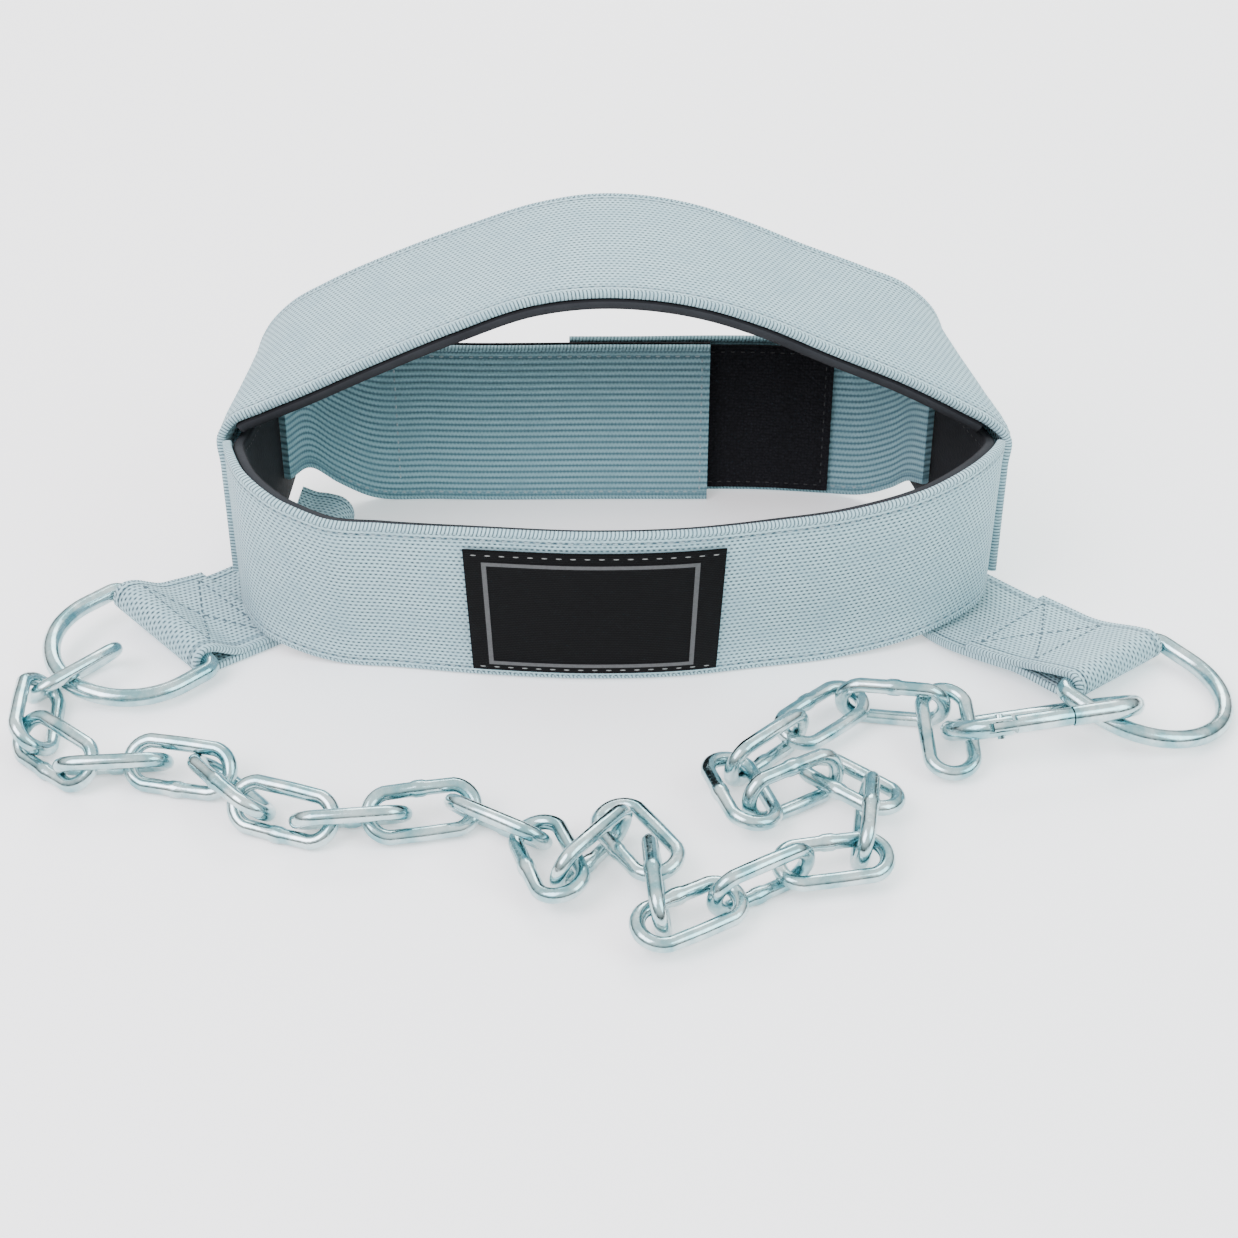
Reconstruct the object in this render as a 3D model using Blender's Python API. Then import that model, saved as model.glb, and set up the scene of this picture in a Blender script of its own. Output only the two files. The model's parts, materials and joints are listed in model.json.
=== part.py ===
"""Neck training harness: webbing head loop, crown band, D-rings, chain and snap hook.

The harness lies on a surface as it would by itself. +X is its left-to-right width,
+Y runs from the forehead band to the back strap, +Z is up. Sizes below are in
millimetres and are turned into metres where a mesh is made.
"""

import math

import bmesh
import bpy
import numpy as np
from mathutils import Matrix, Vector

MM = 0.001
UP = np.array([0.0, 0.0, 1.0])

# Driving sizes of the cloth parts
LOOP_HALF_WIDTH = 120.5
LOOP_DEPTH = 104.0
BAND_WIDTH = 60.0
WEBBING = 2.4
LINING = 3.4
LAYER_GAP = 0.45
CROWN_RISE = 112.0
CROWN_FRONT = 43.0
BACK_STRAP_HEIGHT = 59.0
TAB_WIDTH = 43.0
TAB_WEBBING = 2.0
TAB_CURL = 6.5
LABEL_LENGTH = 74.0
LABEL_HEIGHT = 50.3
LABEL_THICKNESS = 0.8
HOOK_PATCH_HEIGHT = 55.0
HOOK_PATCH_THICKNESS = 1.2
LOOP_BACKING = 1.2

# Driving sizes of the metal parts
RING_WIRE = 5.0
RING_INNER_WIDTH = 44.0
RING_LEG = {"left": 12.0, "right": 11.0}
LINK_WIRE = 3.8
LINK_LENGTH = 34.0
LINK_WIDTH = 17.0
HOOK_WIRE = 6.0
HOOK_LENGTH = 62.0
HOOK_WIDTH = 27.0
GATE_WIRE = 5.4
GATE_TONGUE = 2.4
RIVET = 2.2
FIT_GAP = 0.35

# Small sizes and places
LEG_GAP = 1.0
LEG_DROP = 5.0
LEG_RAMP = 7.0
LINING_SET_BACK = 0.8
LINING_DIP = 2.0
CROWN_LINING_FROM = 1.08
LABEL_MIDDLE = -0.045
LABEL_DROP = 0.36
LOOP_BACKING_FROM = 0.30
RING_CORNER = 0.6
TAB_CURL_STEPS = 6
TAB_LOOP_STEPS = 8
TAB_LOOP_FROM = -95.0
TAB_LOOP_TO = 118.0
TAB_TUCK = 1.5
TAB_TUCK_MIDWAY = 0.4
TAB_WALL_GAP = 5.0
TAB_RETURN = 0.62
CHEEK_REACH = 3.2
SHOULDER_REACH = 4.8
SLOT_DEPTH = 7.2
NOSE_LAP = 3.6
CUT_MARGIN = 4.0

# Counts that set how finely curves are stepped
LABEL_STEPS = 8
FINE_STEPS = 600
BAND_STEPS = 56
CROWN_STEPS = 48
CROWN_COLUMNS = 9
BAND_COLUMNS = 5
STRAP_STEPS = 14
TAB_STEPS = 12
END_ARC_STEPS = 5
RING_ARC_STEPS = 12
LINK_SIDES = 6
RING_SIDES = 8
HOOK_SIDES = 8

# Head loop, outer face of the forehead band at its bottom edge, from the left rear end round
# the front to the right rear end. Shares of LOOP_HALF_WIDTH, LOOP_DEPTH and BAND_WIDTH, the
# outward lean in degrees, and the band's own height as a share of BAND_WIDTH.
LOOP_SECTIONS = (
    # across, back, lift, lean, height
    (-0.944, 0.955, 0.165, 0.0, 0.79),
    (-0.955, 0.800, 0.140, 0.0, 0.82),
    (-0.969, 0.640, 0.110, 0.0, 0.85),
    (-0.982, 0.480, 0.100, 0.0, 0.88),
    (-0.979, 0.350, 0.098, 0.2, 0.95),
    (-0.948, 0.235, 0.096, 1.2, 1.0),
    (-0.893, 0.140, 0.090, 3.5, 1.0),
    (-0.800, 0.085, 0.052, 8.0, 1.0),
    (-0.697, 0.066, 0.006, 11.0, 1.0),
    (-0.548, 0.048, 0.000, 11.5, 1.0),
    (-0.332, 0.013, 0.000, 10.5, 1.0),
    (-0.033, -0.010, 0.000, 10.5, 1.0),
    (0.166, 0.002, 0.000, 10.5, 1.0),
    (0.373, 0.046, 0.000, 10.5, 1.0),
    (0.581, 0.094, 0.004, 9.5, 1.0),
    (0.763, 0.146, 0.052, 8.0, 1.0),
    (0.880, 0.215, 0.090, 5.5, 1.0),
    (0.966, 0.320, 0.098, 2.0, 0.97),
    (0.996, 0.452, 0.100, 0.2, 0.89),
    (0.966, 0.610, 0.108, 0.0, 0.85),
    (0.921, 0.788, 0.130, 0.0, 0.82),
    (0.881, 0.952, 0.160, 0.0, 0.79),
)

# Crown band over the head: place from side to side as a share of the leg's own place, middle
# height and rise from the front edge to the rear one as shares of CROWN_RISE.
CROWN_ARCH = (
    # across, height, tilt
    (-0.999, 0.530, -0.020),
    (-0.968, 0.588, 0.005),
    (-0.895, 0.648, 0.050),
    (-0.790, 0.706, 0.065),
    (-0.610, 0.797, 0.060),
    (-0.400, 0.892, 0.045),
    (-0.200, 0.968, 0.035),
    (-0.050, 0.992, 0.038),
    (0.100, 0.986, 0.038),
    (0.240, 0.958, 0.040),
    (0.370, 0.912, 0.045),
    (0.550, 0.830, 0.060),
    (0.740, 0.747, 0.080),
    (0.870, 0.680, 0.100),
    (0.965, 0.602, 0.070),
    (0.999, 0.535, 0.010),
)
# Heights on the crown's legs, as shares of BAND_WIDTH above the floor.
LEG_HEIGHTS = (0.17, 0.38, 0.60, 0.82)

# Back strap, inner face at its bottom edge: shares of LOOP_HALF_WIDTH, LOOP_DEPTH and
# BACK_STRAP_HEIGHT, with the strap's own height as a share of BACK_STRAP_HEIGHT.
BACK_LEFT = (
    # across, back, lift, height
    (-0.884, 0.790, 0.345, 0.65),
    (-0.840, 0.912, 0.290, 0.72),
    (-0.775, 0.958, 0.140, 0.92),
    (-0.689, 0.982, 0.020, 1.00),
    (-0.500, 0.984, 0.000, 1.00),
    (0.000, 0.984, 0.000, 1.00),
    (0.266, 0.984, 0.000, 1.00),
)
BACK_RIGHT = (
    # across, back, lift, height
    (-0.120, 1.041, 0.000, 1.00),
    (0.000, 1.041, 0.000, 1.00),
    (0.450, 1.041, 0.000, 1.00),
    (0.600, 1.022, 0.000, 1.00),
    (0.700, 0.984, 0.030, 0.99),
    (0.770, 0.920, 0.140, 0.89),
    (0.812, 0.850, 0.270, 0.74),
    (0.846, 0.765, 0.340, 0.66),
)
# Stretch of the right half that the hook patch covers, as shares of its length.
HOOK_PATCH_START = 0.03
HOOK_PATCH_END = 0.655

# Tabs: the strap on the floor in plan, from under the loop's side to the ring, as shares of
# LOOP_HALF_WIDTH and LOOP_DEPTH, and its heading from straight sideways in degrees.
TAB_RUNS = {
    "left": (
        # across, back, heading
        (-0.790, 0.590, -4.0),
        (-0.870, 0.465, 22.0),
        (-0.960, 0.335, 42.0),
        (-1.070, 0.230, 45.0),
    ),
    "right": (
        # across, back, heading
        (0.770, 0.530, -6.0),
        (0.860, 0.420, 22.0),
        (0.970, 0.275, 40.0),
        (1.120, 0.110, 45.0),
    ),
}
# D-rings: place of the bar as shares of LOOP_HALF_WIDTH and LOOP_DEPTH, height of the bar as
# a share of TAB_WIDTH, heading of the strap, roll along the bar and pitch about it.
RING_PLACES = {
    # across, back, height, heading, roll, pitch
    "left": (-1.149, 0.154, 0.174, 45.0, 6.0, 1.4),
    "right": (1.247, -0.046, 0.200, 46.0, -7.0, 7.5),
}

# Chain as it lies, from the left ring to the snap hook: the place where each link begins on
# the one before it, in millimetres from the middle of the left ring's bar, the height of the
# link's middle above the floor, its turn about its own length and its rise in degrees. The
# last row only ends the last link.
CHAIN_ROUTE = (
    # x, y, height, turn, rise
    (-16.05, -13.5, 6.6, 45.0, 0.0),
    (-32.05, -32.0, 6.6, -45.0, 0.0),
    (-30.05, -54.0, 6.6, 45.0, 0.0),
    (-14.05, -67.5, 6.6, -45.0, 0.0),
    (5.45, -66.0, 6.6, 45.0, 0.0),
    (24.45, -70.0, 6.6, -45.0, 0.0),
    (37.45, -84.5, 6.6, 45.0, 0.0),
    (56.45, -91.5, 6.6, -45.0, 0.0),
    (75.45, -89.5, 6.4, 36.0, 0.0),
    (95.45, -85.5, 6.9, -52.0, 0.0),
    (118.45, -100.0, 7.3, 12.0, 0.0),
    (124.45, -117.0, 8.4, -78.0, 0.0),
    (141.45, -94.0, 7.2, 10.0, 0.0),
    (149.45, -107.0, 8.4, -80.0, 0.0),
    (151.45, -135.0, 7.2, 10.0, 0.0),
    (166.45, -126.0, 8.4, -80.0, 0.0),
    (190.45, -111.0, 7.2, 10.0, 0.0),
    (206.45, -108.0, 8.4, -80.0, 0.0),
    (210.45, -80.0, 7.2, 10.0, 0.0),
    (201.45, -72.0, 8.4, -80.0, 0.0),
    (177.45, -87.0, 7.2, 10.0, 0.0),
    (172.45, -72.0, 8.4, -80.0, 0.0),
    (193.45, -51.0, 7.2, 10.0, 0.0),
    (206.95, -38.0, 8.4, -80.0, 0.0),
    (235.75, -42.0, 7.5, 0.0, -16.0),
    (236.75, -63.0, 0.0, 0.0, 0.0),
)
# Snap hook: its middle from the middle of the left ring's bar, which the chain hangs on, and
# its height above the floor, the heading of its length and the slope of its plane.
HOOK_FROM_RING = (264.25, -48.5)
HOOK_HEIGHT = 9.2
HOOK_HEADING = 13.0
HOOK_SLOPE = -36.0
# The gate's rivet and nose along the hook, from its middle, as shares of HOOK_LENGTH.
RIVET_PLACE = -0.275
NOSE_PLACE = 0.14

SHEET_COLOURS = {
    "webbing": ((0.38, 0.50, 0.53), 0.85, 0.0),
    "lining": ((0.012, 0.013, 0.016), 0.9, 0.0),
    "label": ((0.014, 0.014, 0.016), 0.8, 0.0),
    "fastener": ((0.008, 0.008, 0.010), 0.95, 0.0),
    "zinc": ((0.72, 0.77, 0.78), 0.25, 1.0),
}


def clear_scene():
    """Remove every object that the file starts with."""
    for thing in list(bpy.data.objects):
        bpy.data.objects.remove(thing, do_unlink=True)


def make_materials():
    """Return the part's materials by name."""
    materials = {}
    for name, (colour, roughness, metallic) in SHEET_COLOURS.items():
        material = bpy.data.materials.new(name)
        material.use_nodes = True
        shader = material.node_tree.nodes["Principled BSDF"]
        shader.inputs["Base Color"].default_value = (*colour, 1.0)
        shader.inputs["Roughness"].default_value = roughness
        shader.inputs["Metallic"].default_value = metallic
        materials[name] = material
    return materials


def unit(vector):
    """Return a vector of length one."""
    return np.asarray(vector, dtype=float) / np.linalg.norm(vector)


def smooth_rows(rows, count, first=0.0, last=1.0):
    """Return count rows on a smooth curve through the given rows.

    The curve is cubic between rows, by length along their first three columns, and first
    and last choose the stretch of it that is wanted.
    """
    table = np.array(rows, dtype=float)
    steps = np.linalg.norm(np.diff(table[:, :3], axis=0), axis=1)
    place = np.concatenate(([0.0], np.cumsum(steps)))
    slope = np.gradient(table, place, axis=0)
    result = []
    for at in np.linspace(first, last, count) * place[-1]:
        index = int(np.clip(np.searchsorted(place, at, side="right") - 1, 0, len(place) - 2))
        span = place[index + 1] - place[index]
        t = (at - place[index]) / span
        before = (1 + 2 * t) * (1 - t) ** 2 * table[index] + t * (1 - t) ** 2 * span * slope[index]
        after = t * t * (3 - 2 * t) * table[index + 1] + t * t * (t - 1) * span * slope[index + 1]
        result.append(before + after)
    return np.array(result)


def surface_normals(grid):
    """Return the unit normal at each point of a grid of surface points."""
    along = np.gradient(grid, axis=0)
    across = np.gradient(grid, axis=1)
    normal = np.cross(along, across)
    return normal / np.linalg.norm(normal, axis=2, keepdims=True)


def finish_mesh(name, mesh, material):
    """Turn a bmesh in millimetres into a named object with its material."""
    bmesh.ops.recalc_face_normals(mesh, faces=mesh.faces)
    bmesh.ops.scale(mesh, vec=(MM, MM, MM), verts=mesh.verts)
    data = bpy.data.meshes.new(name)
    mesh.to_mesh(data)
    mesh.free()
    data.materials.append(material)
    thing = bpy.data.objects.new(name, data)
    bpy.context.scene.collection.objects.link(thing)
    return thing


def cloth_wall(name, grid, thickness, material, offset=0.0, kept=slice(None)):
    """Make a closed cloth wall: the kept rows moved outward by offset and thickened inward."""
    normals = surface_normals(grid)
    outer = (grid + normals * offset)[kept]
    inner = (grid + normals * (offset - thickness))[kept]
    rows, columns = outer.shape[:2]
    mesh = bmesh.new()
    sections = []
    for i in range(rows):
        ring = list(outer[i]) + list(inner[i][::-1])
        sections.append([mesh.verts.new(Vector(point)) for point in ring])
    around = 2 * columns
    for before, after in zip(sections, sections[1:]):
        for j in range(around):
            k = (j + 1) % around
            mesh.faces.new((before[j], before[k], after[k], after[j]))
    for section in (sections[0], sections[-1]):
        for j in range(columns - 1):
            opposite = around - 1 - j
            mesh.faces.new((section[j], section[j + 1], section[opposite - 1], section[opposite]))
    return finish_mesh(name, mesh, material)


def wire(name, points, diameter, sides, material, closed=True):
    """Make a bent wire of round section along points, closed on itself or with flat ends."""
    path = np.array(points)
    count = len(path)
    mesh = bmesh.new()
    rings = []
    flat = unit(np.linalg.svd(path - path.mean(axis=0))[2][2])
    for i in range(count):
        ahead = path[(i + 1) % count] if closed or i < count - 1 else 2 * path[i] - path[i - 1]
        behind = path[i - 1] if closed or i > 0 else 2 * path[i] - path[i + 1]
        along_in, along_out = unit(path[i] - behind), unit(ahead - path[i])
        along = unit(along_in + along_out)
        side = np.cross(along, flat)
        stretch = 1.0 / np.dot(along, along_in)
        ring = []
        for j in range(sides):
            angle = 2 * math.pi * (j + 0.5) / sides
            reach = side * math.cos(angle) * stretch + flat * math.sin(angle)
            ring.append(mesh.verts.new(Vector(path[i] + reach * diameter / 2)))
        rings.append(ring)
    pairs = list(zip(rings, rings[1:]))
    if closed:
        pairs.append((rings[-1], rings[0]))
    else:
        mesh.faces.new(rings[0])
        mesh.faces.new(rings[-1])
    for before, after in pairs:
        for j in range(sides):
            k = (j + 1) % sides
            mesh.faces.new((before[j], before[k], after[k], after[j]))
    thing = finish_mesh(name, mesh, material)
    thing.data.shade_smooth()
    return thing


def direction(heading):
    """Return the horizontal direction at an angle in degrees from +X towards +Y."""
    return np.array([math.cos(math.radians(heading)), math.sin(math.radians(heading)), 0.0])


def sideways(side, heading):
    """Return a direction by its heading from +X on the right side, mirrored on the left."""
    mirror = -1.0 if side == "left" else 1.0
    return np.array([mirror, 1.0, 1.0]) * direction(heading)


def turned(vector, axis, degrees):
    """Return a vector turned about an axis by the right-hand rule."""
    return np.array(Matrix.Rotation(math.radians(degrees), 3, Vector(axis)) @ Vector(vector))


def loop_rows(count, first=0.0, last=1.0):
    """Return bottom places, up directions, outward directions and heights along the loop."""
    scale = np.array([LOOP_HALF_WIDTH, LOOP_DEPTH, BAND_WIDTH, 1.0, BAND_WIDTH])
    rows = smooth_rows(np.array(LOOP_SECTIONS) * scale, count, first, last)
    place = rows[:, :3]
    along = np.gradient(place[:, :2], axis=0)
    along /= np.linalg.norm(along, axis=1, keepdims=True)
    outward = np.column_stack((along[:, 1], -along[:, 0], np.zeros(count)))
    lean = np.radians(rows[:, 3])[:, None]
    up = np.cos(lean) * UP + np.sin(lean) * outward
    return place, up, outward, rows[:, 4]


def wall_between(low, high):
    """Return a grid of points between a lower edge and an upper one."""
    shares = np.linspace(0.0, 1.0, BAND_COLUMNS)
    return np.stack([low + (high - low) * share for share in shares], axis=1)


def make_forehead(materials):
    """Make the forehead band, its lining and its label."""
    place, up, _, height = loop_rows(BAND_STEPS)
    top = place + up * height[:, None]
    under = np.clip((place[:, 1] - CROWN_FRONT) / LEG_RAMP + 1.0, 0.0, 1.0)
    band = wall_between(place, top - up * LEG_DROP * under[:, None])
    cloth_wall("front_band", band, WEBBING, materials["webbing"])
    dip = LINING_DIP * np.sin(math.pi * np.linspace(0.0, 1.0, BAND_STEPS))
    lining_top = top - up * (LINING_SET_BACK + dip)[:, None]
    lining = wall_between(place + up * LINING_SET_BACK, lining_top)
    cloth_wall("front_lining", lining, LINING, materials["lining"], -(WEBBING + LAYER_GAP))
    middle = loop_place_at(LABEL_MIDDLE * LOOP_HALF_WIDTH)
    half = LABEL_LENGTH / 2 / loop_length()
    place, up, _, _ = loop_rows(LABEL_STEPS, middle - half, middle + half)
    low = (BAND_WIDTH - LABEL_HEIGHT) * LABEL_DROP
    label = wall_between(place + up * low, place + up * (low + LABEL_HEIGHT))
    cloth_wall("label", label, LABEL_THICKNESS, materials["label"], LAYER_GAP + LABEL_THICKNESS)


def loop_length():
    """Return the length of the head loop's bottom edge."""
    place = loop_rows(FINE_STEPS)[0]
    return float(np.linalg.norm(np.diff(place, axis=0), axis=1).sum())


def loop_place_at(across):
    """Return the share of the loop's length at which its front is at a given X."""
    place = loop_rows(FINE_STEPS)[0]
    return float(np.interp(across, place[:, 0][FINE_STEPS // 4 : -FINE_STEPS // 4],
                           np.linspace(0, 1, FINE_STEPS)[FINE_STEPS // 4 : -FINE_STEPS // 4]))


def side_wall_at(back, side):
    """Return the X of the loop's outer face at a given Y, on the left or right side."""
    place = loop_rows(FINE_STEPS)[0]
    third = FINE_STEPS // 3
    stretch = place[:third][::-1] if side == "left" else place[-third:]
    return float(np.interp(back, stretch[:, 1], stretch[:, 0]))


def crown_columns():
    """Return the rows of points of the crown band, one column for each step of its width."""
    columns = []
    for step in np.linspace(0.0, 1.0, CROWN_COLUMNS):
        back = CROWN_FRONT + BAND_WIDTH * step
        left = side_wall_at(back, "left") - WEBBING - LEG_GAP
        right = side_wall_at(back, "right") + WEBBING + LEG_GAP
        rise = (step - 1 / 2) * CROWN_RISE
        points = [(left, back, share * BAND_WIDTH) for share in LEG_HEIGHTS]
        for across, height, tilt in CROWN_ARCH:
            reach = left * -across if across < 0 else right * across
            points.append((reach, back, height * CROWN_RISE + tilt * rise))
        points += [(right, back, share * BAND_WIDTH) for share in LEG_HEIGHTS[::-1]]
        columns.append(smooth_rows(points, CROWN_STEPS))
    return np.stack(columns, axis=1)


def make_crown(materials):
    """Make the crown band with its legs, and its lining between the legs."""
    grid = crown_columns()
    cloth_wall("crown_band", grid, WEBBING, materials["webbing"])
    above = np.where(grid[:, :, 2].min(axis=1) > CROWN_LINING_FROM * BAND_WIDTH)[0]
    arch = slice(above[0], above[-1] + 1)
    cloth_wall("crown_lining", grid, LINING, materials["lining"], -(WEBBING + LAYER_GAP), arch)


def strap_grid(table, count, first=0.0, last=1.0, low=0.0, high=1.0):
    """Return points on the inner face of a back strap between two shares of its height."""
    scale = np.array([LOOP_HALF_WIDTH, LOOP_DEPTH, BACK_STRAP_HEIGHT, BACK_STRAP_HEIGHT])
    rows = smooth_rows(np.array(table) * scale, count, first, last)
    columns = [rows[:, :3] + UP * rows[:, 3:] * share for share in (low, high)]
    return np.stack(columns, axis=1)


def make_back_strap(materials):
    """Make the two halves of the back strap and what fastens one to the other."""
    left = strap_grid(BACK_LEFT, STRAP_STEPS)
    cloth_wall("back_strap_left", left, WEBBING, materials["webbing"])
    backing = strap_grid(BACK_LEFT, STRAP_STEPS, LOOP_BACKING_FROM, 1.0)
    behind = -(WEBBING + LAYER_GAP)
    cloth_wall("loop_backing", backing, LOOP_BACKING, materials["fastener"], behind)
    right = strap_grid(BACK_RIGHT, STRAP_STEPS)
    cloth_wall("back_strap_right", right, WEBBING, materials["webbing"])
    rim = (1.0 - HOOK_PATCH_HEIGHT / BACK_STRAP_HEIGHT) / 2
    patch = strap_grid(BACK_RIGHT, STRAP_STEPS, HOOK_PATCH_START, HOOK_PATCH_END, rim, 1.0 - rim)
    front = LAYER_GAP + HOOK_PATCH_THICKNESS
    cloth_wall("hook_patch", patch, HOOK_PATCH_THICKNESS, materials["fastener"], front)


def ring_frame(side):
    """Return the bar's middle and direction, the ring's reach and its level outward way."""
    across, back, height, heading, roll, pitch = RING_PLACES[side]
    middle = np.array([across * LOOP_HALF_WIDTH, back * LOOP_DEPTH, height * TAB_WIDTH])
    outward = sideways(side, -heading)
    rear = sideways(side, 90.0 - heading)
    roll, pitch = math.radians(roll), math.radians(pitch)
    bar = unit(rear * math.cos(roll) + UP * math.sin(roll))
    drop = outward * math.cos(pitch) - UP * math.sin(pitch)
    reach = unit(drop - bar * np.dot(drop, bar))
    return middle, bar, reach, outward


def make_ring(side, materials):
    """Make one D-ring: a straight bar, two short legs and a round bow."""
    middle, bar, reach, _ = ring_frame(side)
    half = (RING_INNER_WIDTH + RING_WIRE) / 2
    corner = RING_WIRE * RING_CORNER
    outline = []
    for turn in (180.0, 225.0, 270.0):
        bend = direction(turn)
        outline.append((-half + corner + bend[0] * corner, corner + bend[1] * corner))
    for turn in (270.0, 315.0, 360.0):
        bend = direction(turn)
        outline.append((half - corner + bend[0] * corner, corner + bend[1] * corner))
    for step in range(RING_ARC_STEPS + 1):
        bend = direction(180.0 * step / RING_ARC_STEPS)
        outline.append((half * bend[0], RING_LEG[side] + half * bend[1]))
    points = [middle + bar * a + reach * b for a, b in outline]
    wire("d_ring_" + side, points, RING_WIRE, RING_SIDES, materials["zinc"])


def tab_path(side):
    """Return rows of the tab: place, heading of its run and roll, from its curl to its end."""
    middle, _, _, outward = ring_frame(side)
    heading, roll = RING_PLACES[side][3:5]
    scale = np.array([LOOP_HALF_WIDTH, LOOP_DEPTH, 1.0, 1.0])
    run = [(across, back, 0.0, turn) for across, back, turn in TAB_RUNS[side]]
    run = smooth_rows(np.array(run) * scale, TAB_STEPS)
    half = TAB_WEBBING / 2
    rolls = roll * np.linspace(0.0, 1.0, TAB_STEPS) ** 2
    start = np.array([run[0][0], run[0][1], half])
    first = run[0][3]
    inward = sideways(side, -first)
    wall = abs(side_wall_at(start[1], side)) - WEBBING - LINING - 2 * LAYER_GAP
    reach = wall - TAB_WALL_GAP - half - abs(start[0])
    top = 2 * TAB_CURL + half
    rows = [(start + inward * reach + UP * (top + TAB_TUCK), first, 0.0)]
    tuck = top + TAB_TUCK * TAB_TUCK_MIDWAY - half
    rows.append((start + inward * reach / 2 + UP * tuck, first, 0.0))
    for turn in np.linspace(90.0, 270.0, TAB_CURL_STEPS):
        bend = direction(turn)
        curl = inward * bend[0] * TAB_CURL + UP * TAB_CURL * (1.0 + bend[1])
        rows.append((start + curl, first, 0.0))
    lifts = half + np.sin(np.radians(np.abs(rolls))) * TAB_WIDTH / 2
    for i in range(1, TAB_STEPS):
        rows.append((np.array([run[i][0], run[i][1], lifts[i]]), run[i][3], rolls[i]))
    radius = RING_WIRE / 2 + FIT_GAP + half
    for turn in np.linspace(TAB_LOOP_FROM, TAB_LOOP_TO, TAB_LOOP_STEPS):
        bend = direction(turn)
        rows.append((middle + (outward * bend[0] + UP * bend[1]) * radius, heading, roll))
    layer = TAB_WEBBING + FIT_GAP
    for i in range(TAB_STEPS - 1, int(TAB_STEPS * TAB_RETURN), -1):
        rows.append((np.array([run[i][0], run[i][1], lifts[i] + layer]), run[i][3], rolls[i]))
    return rows


def make_tab(side, materials):
    """Make one tab: a strap curled in under the loop, out to the ring's bar and back."""
    edges = []
    for place, heading, roll in tab_path(side):
        roll = math.radians(roll)
        across = sideways(side, 90.0 - heading) * math.cos(roll) + UP * math.sin(roll)
        ends = (place - across * TAB_WIDTH / 2, place + across * TAB_WIDTH / 2)
        edges.append(ends if side == "right" else ends[::-1])
    grid = np.array(edges)
    cloth_wall("tab_" + side, grid, TAB_WEBBING, materials["webbing"], TAB_WEBBING / 2)


def link_outline():
    """Return the middle line of a link: two straight sides and two round ends."""
    radius = (LINK_WIDTH - LINK_WIRE) / 2
    straight = (LINK_LENGTH - LINK_WIDTH) / 2
    outline = []
    for side, begin in ((1.0, -90.0), (-1.0, 90.0)):
        for step in range(END_ARC_STEPS + 1):
            bend = direction(begin + 180.0 * step / END_ARC_STEPS)
            outline.append((side * straight + radius * bend[0], radius * bend[1]))
    return outline


def from_left_ring(across, back, height):
    """Return a place given level from the left ring's bar and by its height above the floor."""
    bar = ring_frame("left")[0]
    return np.array([bar[0] + across, bar[1] + back, height])


def make_chain(materials):
    """Make the chain's links, each between two places of the route."""
    outline = link_outline()
    for number, (row, after) in enumerate(zip(CHAIN_ROUTE, CHAIN_ROUTE[1:]), start=1):
        height, turn, rise = row[2:]
        here, there = from_left_ring(*row[:2], height), from_left_ring(*after[:2], height)
        along = unit(there - here)
        level = np.cross((0.0, 0.0, 1.0), along)
        along = turned(along, level, -rise)
        across = turned(level, along, turn)
        middle = (here + there) / 2
        points = [middle + along * a + across * b for a, b in outline]
        wire(f"chain_link_{number:02d}", points, LINK_WIRE, LINK_SIDES, materials["zinc"])


def hook_frame():
    """Return the hook's middle, long axis, axis across it and axis of its hinge."""
    along = direction(HOOK_HEADING)
    level = np.cross((0.0, 0.0, 1.0), along)
    across = turned(level, along, HOOK_SLOPE)
    middle = from_left_ring(*HOOK_FROM_RING, HOOK_HEIGHT)
    return middle, along, across, np.cross(along, across)


def place_hook_piece(thing):
    """Set a piece of the hook, made flat at the origin, in its place."""
    middle, along, across, hinge = hook_frame()
    turn = Matrix((along, across, hinge)).transposed().to_4x4()
    thing.matrix_world = Matrix.Translation(Vector(middle) * MM) @ turn
    return thing


def cut(thing, name, low, high):
    """Cut a box between two corners, in the hook's own directions, out of a piece of it."""
    mesh = bmesh.new()
    bmesh.ops.create_cube(mesh, size=1.0)
    bmesh.ops.scale(mesh, vec=Vector(high) - Vector(low), verts=mesh.verts)
    bmesh.ops.translate(mesh, vec=(Vector(high) + Vector(low)) / 2, verts=mesh.verts)
    apply_cutter(thing, finish_mesh(name, mesh, thing.data.materials[0]), "DIFFERENCE")


def pin(thing, name, place, diameter, length, operation):
    """Cut a round hole through a piece of the hook along its hinge, or add a pin there."""
    mesh = bmesh.new()
    radius = diameter / 2
    bmesh.ops.create_cone(mesh, cap_ends=True, segments=2 * HOOK_SIDES, radius1=radius,
                          radius2=radius, depth=length)
    bmesh.ops.translate(mesh, vec=(*place, 0.0), verts=mesh.verts)
    apply_cutter(thing, finish_mesh(name, mesh, thing.data.materials[0]), operation)


def apply_cutter(thing, tool, operation):
    """Join a hidden tool to a piece of the hook with a boolean."""
    tool.hide_render = True
    tool.display_type = "WIRE"
    place_hook_piece(tool)
    modifier = thing.modifiers.new(tool.name, "BOOLEAN")
    modifier.operation = operation
    modifier.solver = "EXACT"
    modifier.object = tool


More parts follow.
